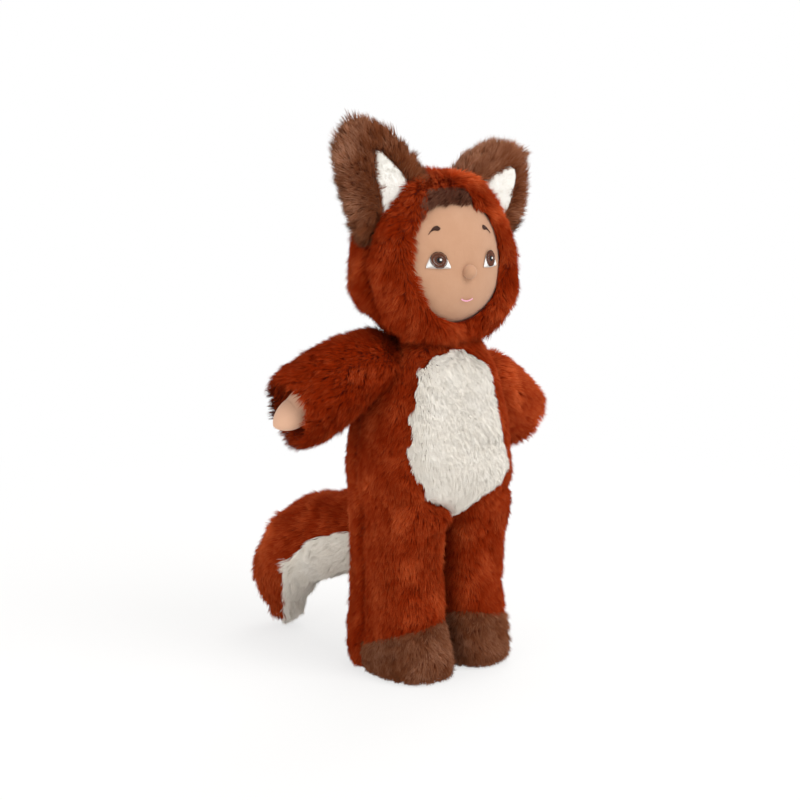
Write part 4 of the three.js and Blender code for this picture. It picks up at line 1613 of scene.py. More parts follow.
@dataclass
class Hood:
    """The hood: a thick plush shell round the head, open at the face, with a tuft of hair at the forehead.

    Attributes:
        face_fall, face_top_shift: how far the opening falls, and its top leans, to the doll's left.
        face_corner: how square its upper right corner is.
        seam_slope: how the seam between the panels runs forward below the ears.
        rim: share of the way to the back over which the shell grows to its full thickness.
    """

    face_z: float = 256.5
    face_half_width: float = 33.5
    face_half_height: float = 36.0
    face_fall: float = 0.067
    face_top_shift: float = 0.1
    face_corner: float = 0.075
    dents: tuple[Swelling, ...] = (Swelling((-32, -14, 290), (9, 10, 11), -4.5),)
    pile_depth: float = 4.4
    seam_y: float = -3.0
    seam_slope: float = 0.17
    seam_depth: float = 8.0
    seam_width: float = 4.0
    back_drop: float = 2.2
    nape_hollow: float = 3.5
    cheek_fullness: float = 3.5
    rim: float = 0.075
    hair_left: float = 15.0
    hair_right: float = -22.0
    hair_bottom: float = 286.5
    hair_top: float = 301.0
    hair_way: tuple[float, float, float] = (-1.0, -0.2, -0.55)
    pile: Pile = Pile(
        RUST_PILE, length=7.6, density=3.1, thickness=0.43, swirl=0.45, gather=0.3, root_lean=33, tip_lean=58,
        tone=0.12,
    )
    hair_pile: Pile = Pile(HAIR_PILE, length=8.5, density=3.0, swirl=0.15, root_lean=45, tip_lean=72)

    def grid(self, around: int, rows: int) -> tuple[Array, Array]:
        """Directions over the hood, from the face's edge to the back.

        Args:
            around: how many there are in a row.
            rows: how many rows there are.

        Returns:
            The directions, and the share of the way to the back of each.
        """
        start = unit(HEAD.front_at(*self.outline(around).T) - HOOD.centre)
        angle = np.arccos(np.clip(start @ BACK, -1, 1))[None, :, None]
        share = (np.linspace(0, 1, rows) ** 1.25 * 0.985)[:, None, None]
        ways = np.sin((1 - share) * angle) * start[None] + np.sin(share * angle) * BACK
        return unit(ways), np.broadcast_to(share[..., 0], (rows, around))

    def skin(self) -> Skin:
        """The hood's shell.

        Returns:
            The outside, a rounded edge at the face, and the inside on the head.
        """
        around, rows = 150, 60
        ways, share = self.grid(around, rows)
        flat = ways.reshape(-1, 3)
        outer = HOOD.project(flat, -self.pile_depth)
        inner = HEAD.project(flat, 0.7)
        lift = np.sqrt(1 - (1 - np.clip(share / self.rim, 0, 1)) ** 2).reshape(-1, 1)
        outer = inner + lift * (outer - inner)
        beyond = outer[:, 1] - self.seam_line(outer)
        low = -outer[:, 2]
        seam = self.seam_depth * bell(beyond, self.seam_width) - 1.5 * bell(beyond + 9, 6)
        seam = seam * smoothstep(np.abs(outer[:, 0]), 8, 26)
        hollow = self.nape_hollow * smoothstep(outer[:, 1], -4, 14) * smoothstep(low, -246, -216)
        hollow = hollow + self.back_drop * smoothstep(beyond, 0, 5) * smoothstep(low, -292, -276)
        cheek = self.cheek_fullness * smoothstep(outer[:, 0], 6, 34) * smoothstep(low, -272, -250)
        lumps = 0.9 * SoftNoise(34, "hood lumps").values(outer)[:, 0]
        lumps = lumps + sum(dent.at(outer) for dent in self.dents)
        outer = outer + flat * ((lumps - seam - hollow + cheek)[:, None] * lift)
        outside = outer.reshape(rows, around, 3)
        inside = inner.reshape(rows, around, 3)[::-1]
        return lofted(np.concatenate([inside, outside])[:, ::-1])

    def seam_line(self, points: Array) -> Array:
        """How far back the seam between the two panels lies at each point's height."""
        return self.seam_y - self.seam_slope * np.maximum(255.0 - points[:, 2], 0)

    def caught(self, points: Array) -> Array:
        """How far pile is caught in the seam between the two panels, from 0 to 1."""
        beside = bell(points[:, 1] - self.seam_line(points), 3.6)
        return beside * smoothstep(np.abs(points[:, 0]), 14, 26)

    def trim(self, points: Array) -> Array:
        """Pile is short in the seam and at the face and long under the chin.

        Args:
            points: roots of the pile.

        Returns:
            Their shares of the full length.
        """
        chin = smoothstep(-points[:, 2], -226, -208) * smoothstep(-points[:, 1], 5, 20)
        dented = sum(dent.at(points) for dent in self.dents) / 12
        return 1 + dented - 0.85 * self.caught(points) - 0.2 * self.at_face(points) + 0.35 * chin

    def at_face(self, points: Array) -> Array:
        """How near points lie to the edge of the face opening, from 0 to 1."""
        edge = outline_depth(points[:, [0, 2]], self.outline())
        return np.where(points[:, 1] < 0, np.exp(-np.maximum(-edge, 0) / 7.0), 0)

    def pale(self, points: Array) -> Array:
        """Painted shade darkens the pile in the seam and behind it; painted light makes it paler at the
        crown.
        """
        behind = smoothstep(points[:, 1] - self.seam_line(points), 0, 6)
        return 0.08 * smoothstep(points[:, 2], 270, 305) - 0.3 * self.caught(points) - 0.06 * behind

    def comb(self, points: Array, normals: Array) -> Array:
        """Pile falls down and back from the crown, and over the edge at the face.

        Args:
            points: roots of the pile.
            normals: the skin's normals there; not used.

        Returns:
            The ways that it is combed.
        """
        near = self.at_face(points)[:, None]
        to_face = np.array([0.0, -HOOD.front, self.face_z]) - points
        beyond = points[:, 1] - self.seam_line(points)
        seam = np.sign(beyond) * np.exp(-np.abs(beyond) / 4)
        outward = 0.5 * unit(points - HOOD.centre) * LEFTWARD
        fall = DOWN + 0.45 * BACK + outward + 0.7 * seam[:, None] * BACK
        return fall + 1.1 * near * unit(to_face)

    def outline(self, count: int = 60) -> Array:
        """The face opening seen from the front: an ellipse that leans to the doll's left.

        Args:
            count: how many points it has.

        Returns:
            The points as x and z, (count, 2).
        """
        angle = 2 * math.pi * np.arange(count) / count
        corner = 1 + self.face_corner * np.where(np.cos(angle) < 0, np.clip(-np.sin(2 * angle), 0, 1), 0)
        x = self.face_half_width * corner * np.cos(angle)
        z = self.face_z + self.face_half_height * corner * np.sin(angle) - self.face_fall * x
        return np.stack([x + self.face_top_shift * np.maximum(z - self.face_z, 0), z], axis=1)

    def on_hair(self, points: Array) -> Array:
        """Finds the points that lie on the tuft of hair.

        Args:
            points: points of the hood.

        Returns:
            True for each that does.
        """
        x, z = points[:, 0], points[:, 2]
        middle, half = (self.hair_left + self.hair_right) / 2, (self.hair_left - self.hair_right) / 2
        height = self.hair_top - self.hair_bottom
        crown = self.hair_bottom + height * np.sqrt(np.clip(1 - ((x - middle) / half) ** 4, 0, None))
        return (points[:, 1] < -12) & (np.abs(x - middle) < half) & (z < crown) & (z > self.hair_bottom)

    def build(self) -> None:
        """Makes the hood, its pile in four parts and the hair."""
        skin = self.skin()
        stuffed("hood_cloth", skin, RUST_CLOTH, 0.7, "head", "hood_back", "hood_front")
        places, normals = roots(skin, self.pile, "hood")
        outward = places - HOOD.centre
        outside = (HEAD.level(places, 2.2) > 1) | (np.sum(normals * outward, axis=1) > 0)
        outside &= np.sum(normals * unit(outward), axis=1) > -0.35
        outside &= clear_of(TRUNK, places, 12) & ~self.on_hair(places)
        behind = places[:, 1] >= self.seam_line(places)
        # pale holds painted shade in the seam and behind it, and painted light at the crown
        cut = {"trim": self.trim(places), "pale": self.pale(places)}
        for side in Side:
            half = places[:, 0] * side.value > 0
            for word, part in (("front", ~behind), ("back", behind)):
                name, keep = f"hood_{word}_pile_{side.word}", outside & half & part
                ride(pile_pieces(name, self.pile, places, normals, self.comb, keep, **cut), "head")
        places, normals = roots(skin, self.hair_pile, "hair")
        keep = self.on_hair(places) & (np.sum(normals * (places - HOOD.centre), axis=1) > 0)
        tufts = pile_pieces("hair_pile", self.hair_pile, places, normals, one_way(self.hair_way), keep)
        ride(tufts, "head", "hair_tuft")


# Height and both edges of each ear, and the outline of its lining as x and z, in the ear's own frame
RIGHT_EAR = (
    (-14, -25, 28), (0, -26, 29), (14, -25.5, 28), (28, -24, 24.5), (38, -22.5, 20.5), (45, -19.5, 17),
    (50, -15, 13), (53.5, -10, 8.5), (55.5, -5, 3.5),
)
LEFT_EAR = (
    (-14, -29, 29), (0, -31, 30), (12, -33, 28), (24, -30, 25), (34, -26, 18), (41.5, -20, 11),
    (46.5, -14.5, 5), (49, -10, 0.5), (50.3, -6, -3),
)
RIGHT_LINING = ((-8, -12), (-2.5, 3), (0, 20), (6, 32), (12.5, 21), (15.5, 12), (16, 4), (12, -12))
LEFT_LINING = ((-11, -10), (-10.5, 8), (-9, 22), (-4.5, 34), (1, 35), (8, 27), (14, 16), (17, 4), (14, -10))

EAR_PILE = Pile(
    BROWN_PILE, length=8.8, density=3.8, thickness=0.42, unruly=0.2, gather=0.4, root_lean=34, tip_lean=60,
    glow=0.3,
)


@dataclass
class Ear:
    """A fox ear: a cupped leaf of brown plush with a smooth white lining, in its own frame.

    The base lies on X, the tip points along +Z and the lining faces -Y.

    Attributes:
        lean, turn, tilt: to the doll's left, about the upright and to the front, in radians.
        levels: height and both edges of the leaf, from the base up.
        lining: corners of the lining's outline, as x and z.
    """

    side: Side
    origin: tuple[float, float, float]
    lean: float
    turn: float
    tilt: float
    levels: Table
    lining: Table
    half_width: float = 30.0
    half_thickness: float = 7.5
    cup: float = 7.0
    pile_depth: float = 4.0
    pile: Pile = EAR_PILE
    lining_pile: Pile = Pile(WHITE_PILE, length=2.2, density=2.5, thickness=0.4, root_lean=55, tip_lean=78)

    @property
    def place(self) -> Place:
        """Where the ear's frame lies."""
        turn = turn_about(2, self.turn) @ turn_about(1, self.lean) @ turn_about(0, self.tilt)
        return Place(np.array(self.origin), turn)

    def own_skin(self) -> Skin:
        """The leaf's backing cloth.

        Returns:
            The skin in the ear's frame.
        """
        rings = []
        bottom, top = self.levels[0][0], self.levels[-1][0]
        for z, low, high in spline(self.levels, 48):
            half, middle = (high - low) / 2 - self.pile_depth, (high + low) / 2
            share = (z - bottom) / (top - bottom)
            thick = max(self.half_thickness * math.sqrt(max(0.05, 1 - share**6)) - self.pile_depth, 0.6)
            centre = np.array([middle, 0.0, z - self.pile_depth * share])
            ring = ring_points(centre, max(half, 0.8), thick, thick, 2.2, 64)
            ring[:, 1] -= self.cup_at(ring[:, 0])
            rings.append(ring)
        return lofted(rings)

    def cup_at(self, x: Array) -> Array:
        """How far the cupped leaf stands forward at some x."""
        return self.cup * (x / self.half_width) ** 2

    def lining_outline(self) -> Array:
        """The lining's leaf outline, as x and z."""
        return spline(self.lining, 40)

    def lining_depth(self, points: Array) -> Array:
        """How deep points of the toy's frame lie inside the lining's outline, seen from the front."""
        return outline_depth(self.place.into(points)[:, [0, 2]], self.lining_outline())

    def lining_skin(self) -> Skin:
        """The lining, a thin pad on the front of the leaf.

        Returns:
            The skin in the ear's frame.
        """
        outline = self.lining_outline()
        centre = outline.mean(axis=0)
        rings = []
        for share in np.linspace(0, 1, 14)[:-1]:
            ring = centre + (outline - centre) * (1 - share)
            lift = 0.4 + 2.4 * math.sqrt(1 - (1 - min(share * 4, 1.0)) ** 2)
            y = -(self.half_thickness - self.pile_depth) - lift + 1.0 - self.cup_at(ring[:, 0])
            rings.append(np.stack([ring[:, 0], y, ring[:, 1]], axis=1)[:-1])
        return lofted(np.array([rings[0] + 1.5 * BACK, *rings])[:, ::-1])

    def comb(self, points: Array, normals: Array) -> Array:
        """Pile runs outward from the lining and over the edge.

        Args:
            points: roots of the pile.
            normals: the skin's normals there.

        Returns:
            The ways that it is combed.
        """
        own = self.place.into(points)
        away = own - np.array([self.lining_outline()[:, 0].mean(), 0.0, 6.0])
        away[:, 1] = 0
        away = unit(away) * (1 - 2.0 * self.fringe(points, normals))[:, None]
        return self.place.way(away + 0.35 * UP)

    def fringe(self, points: Array, normals: Array) -> Array:
        """How near points of the front lie to the lining's edge, from 0 to 1."""
        beside = np.exp(np.minimum(self.lining_depth(points), 0) / 2.0)
        return beside * ((normals @ self.place.turn)[:, 1] < 0.2)

    def build(self) -> None:
        """Makes the ear, its brown pile and its lining."""
        word = self.side.word
        body = f"ear_{word}"
        skin = self.own_skin().moved(self.place)
        stuffed(f"ear_cloth_{word}", skin, BROWN_CLOTH, 0.5, body, f"ear_outer_{word}")
        name = f"ear_pile_{word}"
        places, normals = roots(skin, self.pile, name)
        depth = self.lining_depth(places)
        lined = (depth > 0) & ((normals @ self.place.turn)[:, 1] < 0.2)
        keep = ~lined & clear_of(HOOD, places, 8, 0.9)
        trim = 1 - 0.45 * self.fringe(places, normals)
        # painted shade in the hollow by the lining and painted light towards the rim
        pale = 0.45 * smoothstep(-depth, 4, 20) - 0.18
        ride(pile_pieces(name, self.pile, places, normals, self.comb, keep, trim, pale), body)
        lining = self.lining_skin().moved(self.place)
        stuffed(f"ear_lining_cloth_{word}", lining, LINING_CLOTH, 0.4, body, f"ear_lining_{word}")
        name = f"ear_lining_pile_{word}"
        places, normals = roots(lining, self.lining_pile, name)
        keep = (normals @ self.place.turn)[:, 1] < 0.1
        ride(pile_pieces(name, self.lining_pile, places, normals, one_way(self.place.way(UP)), keep), body)


@dataclass
class Tail:
    """The tail: a stuffed brush that hangs from a round root, rust on top and cream underneath.

    Attributes:
        heading: degrees from +X that it points to.
        seam_line: shares of the way along, and how far above its line the colours meet there.
        line: reach, height and radius along the tail, in its own frame, where it runs along +X.
    """

    root_y: float = 46.0
    root_z: float = 86.0
    heading: float = 110.0
    pile_depth: float = 4.6
    seam_line: Table = (
        (0, -6), (0.14, -5.5), (0.24, -0.5), (0.3, 1.8), (0.37, 2.2), (0.44, -0.5), (0.52, -5), (0.62, -7.5),
        (0.82, -9), (0.94, -6), (1, -3),
    )
    line: Table = (
        (-14, -4, 17), (4, -5, 21), (26, -14, 26), (50, -21, 27.5), (70.5, -35.5, 24.5), (79.5, -56, 19.5),
        (78.5, -70, 12.5),
    )
    pile: Pile = Pile(
        RUST_PILE, length=7.8, density=2.9, thickness=0.46, root_lean=34, tip_lean=60, swirl=0.35, tone=0.14
    )
    under_pile: Pile = Pile(
        CREAM_PILE, length=9.5, density=3.4, thickness=0.5, gather=0.4, tuft=4.0, swirl=0.6, root_lean=38
    )

    @property
    def place(self) -> Place:
        """Where the tail's frame lies."""
        return Place(np.array([0.0, self.root_y, self.root_z]), turn_about(2, math.radians(self.heading)))

    def rows(self, count: int) -> tuple[Array, Array, Array, Array]:
        """Runs along the tail in its own frame.

        Args:
            count: how many places to take.

        Returns:
            Centres, directions, the way up from each, and radii.
        """
        fine = spline(self.line, count)
        centres = np.stack([fine[:, 0], np.zeros(count), fine[:, 1]], axis=1)
        along = unit(np.gradient(centres, axis=0))
        over = np.stack([-along[:, 2], np.zeros(count), along[:, 0]], axis=1)
        return centres, along, over, fine[:, 2]

    def skin(self) -> Skin:
        """The tail's backing cloth.

        Returns:
            The skin, with a round end.
        """
        centres, along, over, radii = self.rows(60)
        reach = radii - self.pile_depth
        cos, sin = circle(64).T[..., None]
        stations = [(centre, size, up) for centre, size, up in zip(centres, reach, over)]
        for step in (0.35, 0.65, 0.88):
            shrunk = reach[-1] * math.sqrt(1 - step**2)
            stations.append((centres[-1] + along[-1] * reach[-1] * step, shrunk, over[-1]))
        skin = lofted([centre + size * (cos * BACK + sin * up) for centre, size, up in stations])
        return lumpy(skin.moved(self.place), 1.0, 30, "tail lumps")

    def nearest(self, points: Array) -> tuple[Array, Array, Array]:
        """Finds the nearest place of the tail's own line.

        Args:
            points: points of the toy's frame.

        Returns:
            How far they lie above the line, its direction there and the share of the way along it.
        """
        own = self.place.into(points)
        centres, along, over, _ = self.rows(90)
        gap = np.linalg.norm(own[:, None, [0, 2]] - centres[None][:, :, [0, 2]], axis=2)
        closest = gap.argmin(axis=1)
        above = np.sum((own - centres[closest]) * over[closest], axis=1)
        return above, along[closest], closest / (len(centres) - 1)

    def comb(self, points: Array, normals: Array) -> Array:
        """Pile runs to the tail's tip."""
        return self.place.way(self.nearest(points)[1])

    def build(self) -> None:
        """Makes the tail and its two colours of pile."""
        skin = self.skin()
        stuffed("tail_cloth", skin, RUST_CLOTH, 0.7, "tail", "tail_top")
        under = ("tail_under_pile", self.under_pile, -1, ("tail_under",))
        for name, pile, sign, nodes in (("tail_top_pile", self.pile, 1, ()), under):
            places, normals = roots(skin, pile, name)
            above, _, share = self.nearest(places)
            seam = np.interp(share, *np.array(self.seam_line).T)
            keep = ((above - seam) * sign > 0) & clear_of(TRUNK, places, 14)
            # painted highlight: the pile is paler towards the tail's tip
            pale = 0.25 * smoothstep(self.place.into(places)[:, 0], 50, 80)
            ride(pile_pieces(name, pile, places, normals, self.comb, keep, pale=pale), "tail", *nodes)


@dataclass
class Head:
    """The doll's head with its stitched face, which falls a little to the doll's left.

    Attributes:
        brow_inner, brow_outer: ends of a brow, as x and z.
        pulls: width and depth of the hollow under each eye, the mouth and the nose.
    """

    fall: float = 0.067
    eye_x: float = 19.6
    eye_z: float = 259.2
    iris: float = 4.8
    pupil: float = 1.7
    glint: float = 0.7
    white_half_width: float = 6.9
    white_drop: float = 5.0
    white_rise: float = 2.6
    brow_inner: tuple[float, float] = (16.0, 277.3)
    brow_outer: tuple[float, float] = (22.8, 274.2)
    brow_half_height: float = 1.8
    brow_arch: float = 1.5
    brow_slant: float = 0.4
    mouth_z: float = 235.3
    mouth_half_width: float = 4.4
    mouth_sag: float = 1.3
    nose_z: float = 252.2
    nose_radius: float = 4.3
    nose_sink: float = 0.3
    thread: float = 0.42
    pulls: Table = ((8.0, 0.5), (4.5, 0.5), (6.0, 0.7))

    def thread_piece(self, name: str, lines: Sequence[Array], finish: ThreadFinish) -> Thing:
        """Threads that lie on the face.

        Args:
            name: the piece's name.
            lines: the course of each thread.
            finish: its finish.

        Returns:
            The piece, which rides on the head.
        """
        cos, sin = circle(6).T[:, None, :, None]  # each (1, sides, 1)
        tubes = []
        for line in lines:
            along = unit(np.gradient(line, axis=0))
            across = unit(np.cross(along, BACK))
            over = np.cross(along, across)
            taper = np.sqrt(np.clip(1 - np.linspace(-1, 1, len(line)) ** 6, 0.1, 1)) * self.thread / 2
            ring = cos * across[:, None] + sin * over[:, None]
            tubes.append(lofted(line[:, None] + taper[:, None, None] * ring))
        piece = cloth_piece(name, joined(tubes), finish)
        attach(piece, "head")
        return piece

    def on_face(self, flat: Array, lift: float) -> Array:
        """Points of the face at some x and z, raised off the cloth by lift."""
        return HEAD.front_at(flat[:, 0], flat[:, 1] - self.fall * flat[:, 0], lift)

    def satin(self, one: Array, other: Array, lift: float, bulge: float = 0.35) -> list[Array]:
        """Threads laid side by side between two edges.

        Args:
            one, other: the edges as x and z, with as many points.
            lift: how far the threads stand off the cloth at their ends.
            bulge: how far they rise between their ends.

        Returns:
            The course of each thread.
        """
        lines = []
        share = np.linspace(0, 1, 5)[:, None]
        for start, end in zip(one, other):
            line = self.on_face(start + share * (end - start), lift)
            line[:, 1] -= bulge * np.sin(math.pi * share[:, 0])
            lines.append(line)
        return lines

    def ring_of(self, centre: Array, inner: float, outer: float, lift: float, count: int) -> list[Array]:
        """Threads that run from an inner circle to an outer one."""
        ways = circle(count)
        return self.satin(centre + inner * ways, centre + outer * ways, lift, bulge=0.2)

    def build_eye(self, side: Side) -> None:
        """Makes one eye: white corners, a brown iris with a dark edge, a black pupil and a white glint.

        Args:
            side: the doll's side.
        """
        word = side.word
        centre = np.array([side.value * self.eye_x, self.eye_z])
        wide, drop = self.white_half_width, self.white_drop
        across = np.arange(-wide, wide + 0.01, self.thread * 0.85)
        shape = np.clip((wide + 0.4 - np.abs(across)) / 3.2, 0, 1) ** 0.8
        top = self.eye_z - drop + (drop + self.white_rise) * shape
        bottom = self.eye_z - drop - 0.3 * np.cos(across / wide * math.pi / 2)
        edges = (np.stack([centre[0] + across, edge], axis=1) for edge in (top, bottom))
        white = self.thread_piece(f"eye_white_threads_{word}", self.satin(*edges, 0.25), WHITE_THREAD)
        lines = self.ring_of(centre, self.pupil * 0.8, self.iris * 0.7, 0.85, 34)
        lines += self.ring_of(centre, self.iris * 0.62, self.iris * 0.97, 0.6, 60)
        iris = self.thread_piece(f"iris_threads_{word}", lines, BROWN_THREAD)
        angle = np.linspace(0, 2 * math.pi, 17)
        edge = centre + self.iris * np.stack([np.cos(angle), np.sin(angle)], axis=1)
        lines = [self.on_face(spline(edge[place : place + 3], 7), 0.75) for place in range(0, 16, 2)]
        self.thread_piece(f"iris_edge_threads_{word}", lines, DARK_THREAD)
        lines = self.ring_of(centre, 0.2, self.pupil, 1.15, 22)
        self.thread_piece(f"pupil_threads_{word}", lines, BLACK_THREAD)
        spot = centre + np.array([0.35, 0.35])
        reach = np.array([[-self.glint, 0.0], [-self.glint, 0.4], [-self.glint, -0.4]])
        lines = self.satin(spot + reach, spot + reach * [-1, 1], 1.7, bulge=0.15)
        self.thread_piece(f"glint_threads_{word}", lines, WHITE_THREAD)
        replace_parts(white, f"eye_white_{word}")
        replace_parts(iris, f"iris_{word}")

    def build_brow(self, side: Side) -> None:
        """Makes one eyebrow: a curved row of short stitches, thick at its inner end.

        Args:
            side: the doll's side.
        """
        t = np.linspace(0, 1, 24)
        inner, outer = np.array(self.brow_inner), np.array(self.brow_outer)
        middle = inner + t[:, None] * (outer - inner)
        middle[:, 1] += self.brow_arch * np.sin(math.pi * t)
        round_end = np.sqrt(np.clip(1 - (1 - np.minimum(t / 0.25, 1)) ** 2, 0.1, 1))
        half = self.brow_half_height * (1 - 0.75 * t) * round_end
        x, z = middle.T
        edges = (
            np.stack([side.value * (x - sign * self.brow_slant), z + sign * half], axis=1) for sign in (1, -1)
        )
        lines = self.satin(*edges, 0.3, bulge=0.25)
        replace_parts(self.thread_piece(f"brow_threads_{side.word}", lines, DARK_THREAD), f"brow_{side.word}")

    def build_mouth(self) -> None:
        """Makes the mouth: a short smile of backstitches in two rows."""
        lines = []
        x = np.linspace(-self.mouth_half_width, self.mouth_half_width, 7)
        share = np.linspace(-0.06, 1.06, 5)[:, None]
        for row in (0.0, 0.45):
            z = self.mouth_z + 0.5 - row - self.mouth_sag * (1 - (x / self.mouth_half_width) ** 2)
            knots = np.stack([x, z], axis=1)
            for start, end in zip(knots, knots[1:]):
                line = self.on_face(start + share * (end - start), 0.45)
                line[:, 1] -= 0.2 * np.sin(math.pi * np.clip(share[:, 0], 0, 1))
                lines.append(line)
        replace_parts(self.thread_piece("mouth_threads", lines, PINK_THREAD), "mouth")

    def head_skin(self) -> Skin:
        """The head's cloth.

        Returns:
            The skin, pulled in a little under the stitches.
        """
        rows, around = 90, 120
        polar = np.linspace(0.03, math.pi - 0.03, rows)[:, None]
        cos, sin = circle(around).T
        level = -np.broadcast_to(np.cos(polar), (rows, around))
        flat = np.stack([np.sin(polar) * cos, level, np.sin(polar) * sin], axis=2).reshape(-1, 3)
        points = HEAD.project(flat)
        pull = np.zeros(len(points))
        eye, mouth, nose = self.pulls
        spots = [(self.eye_x, self.eye_z, *eye), (-self.eye_x, self.eye_z, *eye)]
        spots += [(0.0, self.mouth_z, *mouth), (0.0, self.nose_z, *nose)]
        for x, z, width, depth in spots:
            gap = (points[:, 0] - x) ** 2 + (points[:, 2] - z) ** 2
            pull += np.where(points[:, 1] < 0, depth * np.exp(-gap / width**2), 0)
        points = points - flat * pull[:, None]
        return lofted(points.reshape(rows, around, 3)[:, ::-1])

    def nose_skin(self) -> Skin:
        """The nose.

        Returns:
            A round nub that sinks into the face.
        """
        around = 28
        front = float(HEAD.front_at(np.array([0.0]), np.array([self.nose_z]))[0, 1])
        centre = np.array([0.0, front - self.nose_radius * self.nose_sink, self.nose_z])
        cos, sin = circle(around).T
        rings = []
        for lift in np.linspace(0.06, math.pi - 0.06, 20):
            radius = self.nose_radius * math.sin(lift) * (1.0 - 0.12 * math.cos(lift))
            y = self.nose_radius * -math.cos(lift)
            rings.append(centre + np.stack([radius * cos, np.full(around, y), radius * sin], axis=1))
        return lofted(np.array(rings)[:, ::-1])

    def build(self) -> None:
        """Makes the head, the nose and every stitched piece."""
        stuffed("head_cloth", self.head_skin(), SKIN_CLOTH, 0.9, "head", "doll_head")
        stuffed("nose_cloth", self.nose_skin(), SKIN_CLOTH, 0.9, "head", "nose")
        for side in Side:
            self.build_eye(side)
            self.build_brow(side)
        self.build_mouth()


@dataclass
class Neck:
    """The doll's stuffed neck, hidden under the hood."""

    z: float = 206.0
    radius: float = 14.5

    def build(self) -> None:
        """Makes the neck."""
        rings = []
        for turn in np.linspace(0.1, math.pi - 0.1, 18):
            reach = self.radius * math.sin(turn)
            centre = np.array([0.0, 0.0, self.z - self.radius * math.cos(turn)])
            rings.append(ring_points(centre, reach, reach, reach, 2.0, 32))
        stuffed("neck_cloth", lofted(rings), SKIN_CLOTH, 0.9, "neck", "doll_neck")


@dataclass(frozen=True)
class Lamp:
    """A soft box that shines at the toy.

    Attributes:
        azimuth, elevation: degrees round the toy, 0 in front and 90 on its left, and above the floor.
        distance, size: in metres.
        power: in watts.
    """

    name: str
    azimuth: float
    elevation: float
    distance: float
    size: float
    power: float


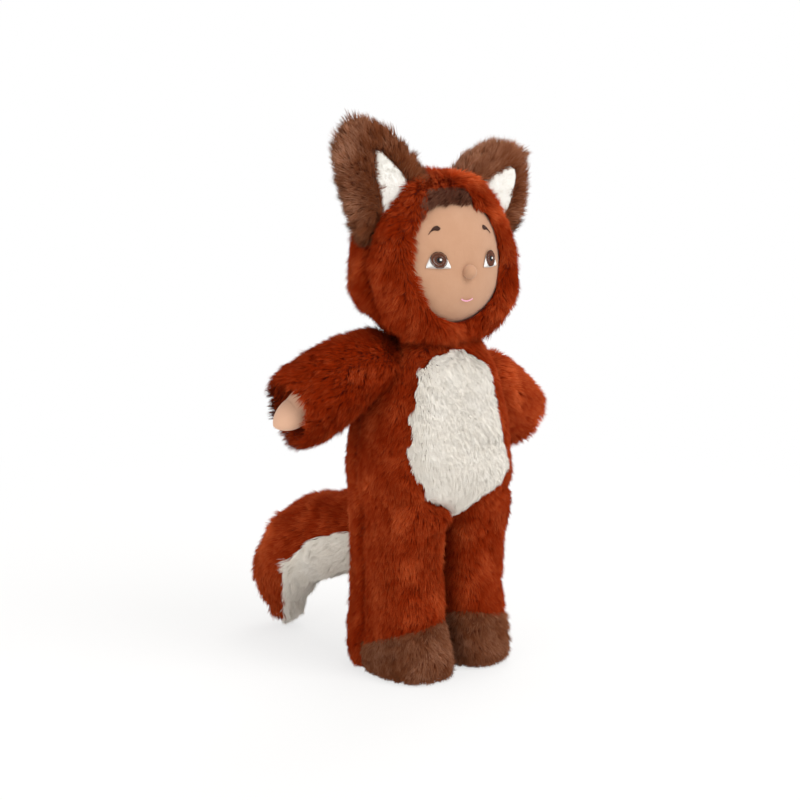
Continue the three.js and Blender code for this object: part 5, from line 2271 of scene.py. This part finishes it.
@dataclass
class Studio:
    """Floor, lamps and camera round the toy; angles in degrees and distances in metres, as a lamp has them.

    Attributes:
        target_z: height that the camera and the lamps look at.
        shade, shade_span: how white the floor is to the camera near the toy and far off, and where.
    """

    target_z: float = 160.0
    azimuth: float = -38.0
    elevation: float = 12.5
    distance: float = 1.5
    focal_length: float = 110.0
    shift: tuple[float, float] = (-0.0375, 0.0156)
    floor_radius: float = 14.0
    world_strength: float = 0.8
    shade: tuple[float, float] = (0.7, 1.0)
    shade_span: tuple[float, float] = (0.14, 0.6)
    lamps: tuple[Lamp, ...] = (
        Lamp("key", azimuth=14.0, elevation=44.0, distance=2.2, size=1.5, power=30.0),
        Lamp("fill", azimuth=-75.0, elevation=15.0, distance=2.4, size=1.8, power=11.5),
        Lamp("back", azimuth=125.0, elevation=45.0, distance=2.2, size=1.4, power=14.0),
    )

    def aim(self, name: str, data: bpy.types.ID, spot: "Lamp | Studio") -> Thing:
        """Places a camera or a lamp in the scene, looking at the toy.

        Args:
            name: its name.
            data: the camera or lamp.
            spot: what holds its azimuth, elevation and distance.

        Returns:
            The object.
        """
        a, e = math.radians(spot.azimuth), math.radians(spot.elevation)
        way = np.array([math.sin(a) * math.cos(e), -math.cos(a) * math.cos(e), math.sin(e)])
        thing = in_scene(name, data)
        thing.location = Vector(to_row(np.array([0.0, 0.0, self.target_z])) + way * spot.distance)
        thing.rotation_mode = "QUATERNION"
        thing.rotation_quaternion = Vector(-way).to_track_quat("-Z", "Y")
        return thing

    def build_camera(self) -> None:
        """Sets the camera at the photograph's viewing angle."""
        data = bpy.data.cameras.new("camera")
        data.lens = self.focal_length
        data.shift_x, data.shift_y = self.shift
        data.clip_start, data.clip_end = 0.05, 60.0
        bpy.context.scene.camera = self.aim("camera", data, self)

    def build_world(self) -> None:
        """White for the camera and an even pale light for the toy."""
        world = bpy.data.worlds.new("studio")
        bpy.context.scene.world = world
        world.use_nodes = True
        nodes, links = world.node_tree.nodes, world.node_tree.links
        nodes.clear()
        path = nodes.new("ShaderNodeLightPath")
        seen = nodes.new("ShaderNodeMath")
        seen.operation = "MAXIMUM"
        mix, output = nodes.new("ShaderNodeMixShader"), nodes.new("ShaderNodeOutputWorld")
        links.new(path.outputs["Is Camera Ray"], seen.inputs[0])
        links.new(path.outputs["Is Glossy Ray"], seen.inputs[1])
        lights = ((self.world_strength, (1.0, 0.985, 0.965, 1.0)), (1.0, (1.0, 1.0, 1.0, 1.0)))
        for place, (strength, colour) in enumerate(lights, 1):
            light = nodes.new("ShaderNodeBackground")
            light.inputs["Strength"].default_value = strength
            light.inputs["Color"].default_value = colour
            links.new(light.outputs["Background"], mix.inputs[place])
        links.new(seen.outputs["Value"], mix.inputs["Fac"])
        links.new(mix.outputs["Shader"], output.inputs["Surface"])

    def build_floor(self) -> None:
        """A wide pale floor that keeps the toy's shadow and is white to the camera elsewhere."""
        cos, sin = circle(64).T
        ring = self.floor_radius * np.stack([cos, sin, np.zeros(64)], axis=1)
        floor = mesh_object("floor", ring, [tuple(range(64))])
        graph = Graph("floor")
        graph.plain(Base_Color=linear(0xE9E8E6), Roughness=0.9, Specular_IOR_Level=0.1)
        glow = graph.add("ShaderNodeEmission")
        graph.put(glow, Strength=1.0)
        path, mix = graph.add("ShaderNodeLightPath"), graph.add("ShaderNodeMixShader")
        far = graph.add("ShaderNodeVectorMath", operation="LENGTH")
        graph.link(graph.place(), far.inputs[0])
        white = graph.add("ShaderNodeMapRange", interpolation_type="SMOOTHSTEP")
        (start, end), (near, far_off) = self.shade_span, self.shade
        graph.put(white, From_Min=start, From_Max=end, To_Min=near, To_Max=far_off)
        graph.link(far.outputs["Value"], white.inputs["Value"])
        share = graph.add("ShaderNodeMath", operation="MULTIPLY")
        graph.link(path.outputs["Is Camera Ray"], share.inputs[0])
        graph.link(white.outputs["Result"], share.inputs[1])
        graph.link(share.outputs["Value"], mix.inputs["Fac"])
        graph.link(graph.surface.outputs["BSDF"], mix.inputs[1])
        graph.link(glow.outputs["Emission"], mix.inputs[2])
        graph.link(mix.outputs["Shader"], graph.tree.nodes["Material Output"].inputs["Surface"])
        floor.data.materials.append(graph.material)

    def build_lamps(self) -> None:
        """Hangs the soft boxes."""
        for lamp in self.lamps:
            data = bpy.data.lights.new(lamp.name, "AREA")
            data.shape = "DISK"
            data.size = lamp.size
            data.energy = lamp.power
            self.aim(lamp.name, data, lamp)

    def build(self) -> None:
        """Sets up camera, world, floor and lamps."""
        bpy.context.scene.view_settings.view_transform = "Standard"
        self.build_camera()
        self.build_world()
        self.build_floor()
        self.build_lamps()


def main() -> None:
    """Builds the studio and the toy, one sub-assembly after the other."""
    logging.basicConfig(level=logging.INFO, format="%(message)s")
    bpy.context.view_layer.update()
    assemblies = [
        Studio(),
        SuitBody(),
        Sleeve(
            Side.RIGHT, z=190, back=11, droop=20, rise=6.5, forward=0, root_radius=20.5, length=57.5,
            # darker tone and less glow on the near sleeve: painted shade
            cuff_radius=24.6, cuff_slant=(-3.0, -3.0), pile=replace(SLEEVE_PILE, tone=0.06, glow=0.25),
        ),
        Sleeve(
            Side.LEFT, z=183, back=18, droop=46, rise=-6, forward=5, root_radius=18.5, swell=1,
            # paler tone and more glow on the far sleeve: painted light and sheen
            cuff_radius=25, bore=16.5, pile=replace(SLEEVE_PILE, tone=0.34, glow=0.6),
        ),
        Neck(),
        Head(),
        Hood(),
        Ear(Side.RIGHT, (-35, -0.5, 292), -0.36, turn=-0.25, tilt=0, levels=RIGHT_EAR, lining=RIGHT_LINING),
        Ear(
            Side.LEFT, (38, 5, 283), 0.96, turn=-0.2, tilt=-0.12, levels=LEFT_EAR, lining=LEFT_LINING,
            # paler pile on the far ear: painted light
            pile=replace(EAR_PILE, tone=0.34),
        ),
        Tail(),
    ]
    for assembly in assemblies:
        assembly.build()
        LOG.info("built %s", type(assembly).__name__)


if __name__ == "__main__":
    main()
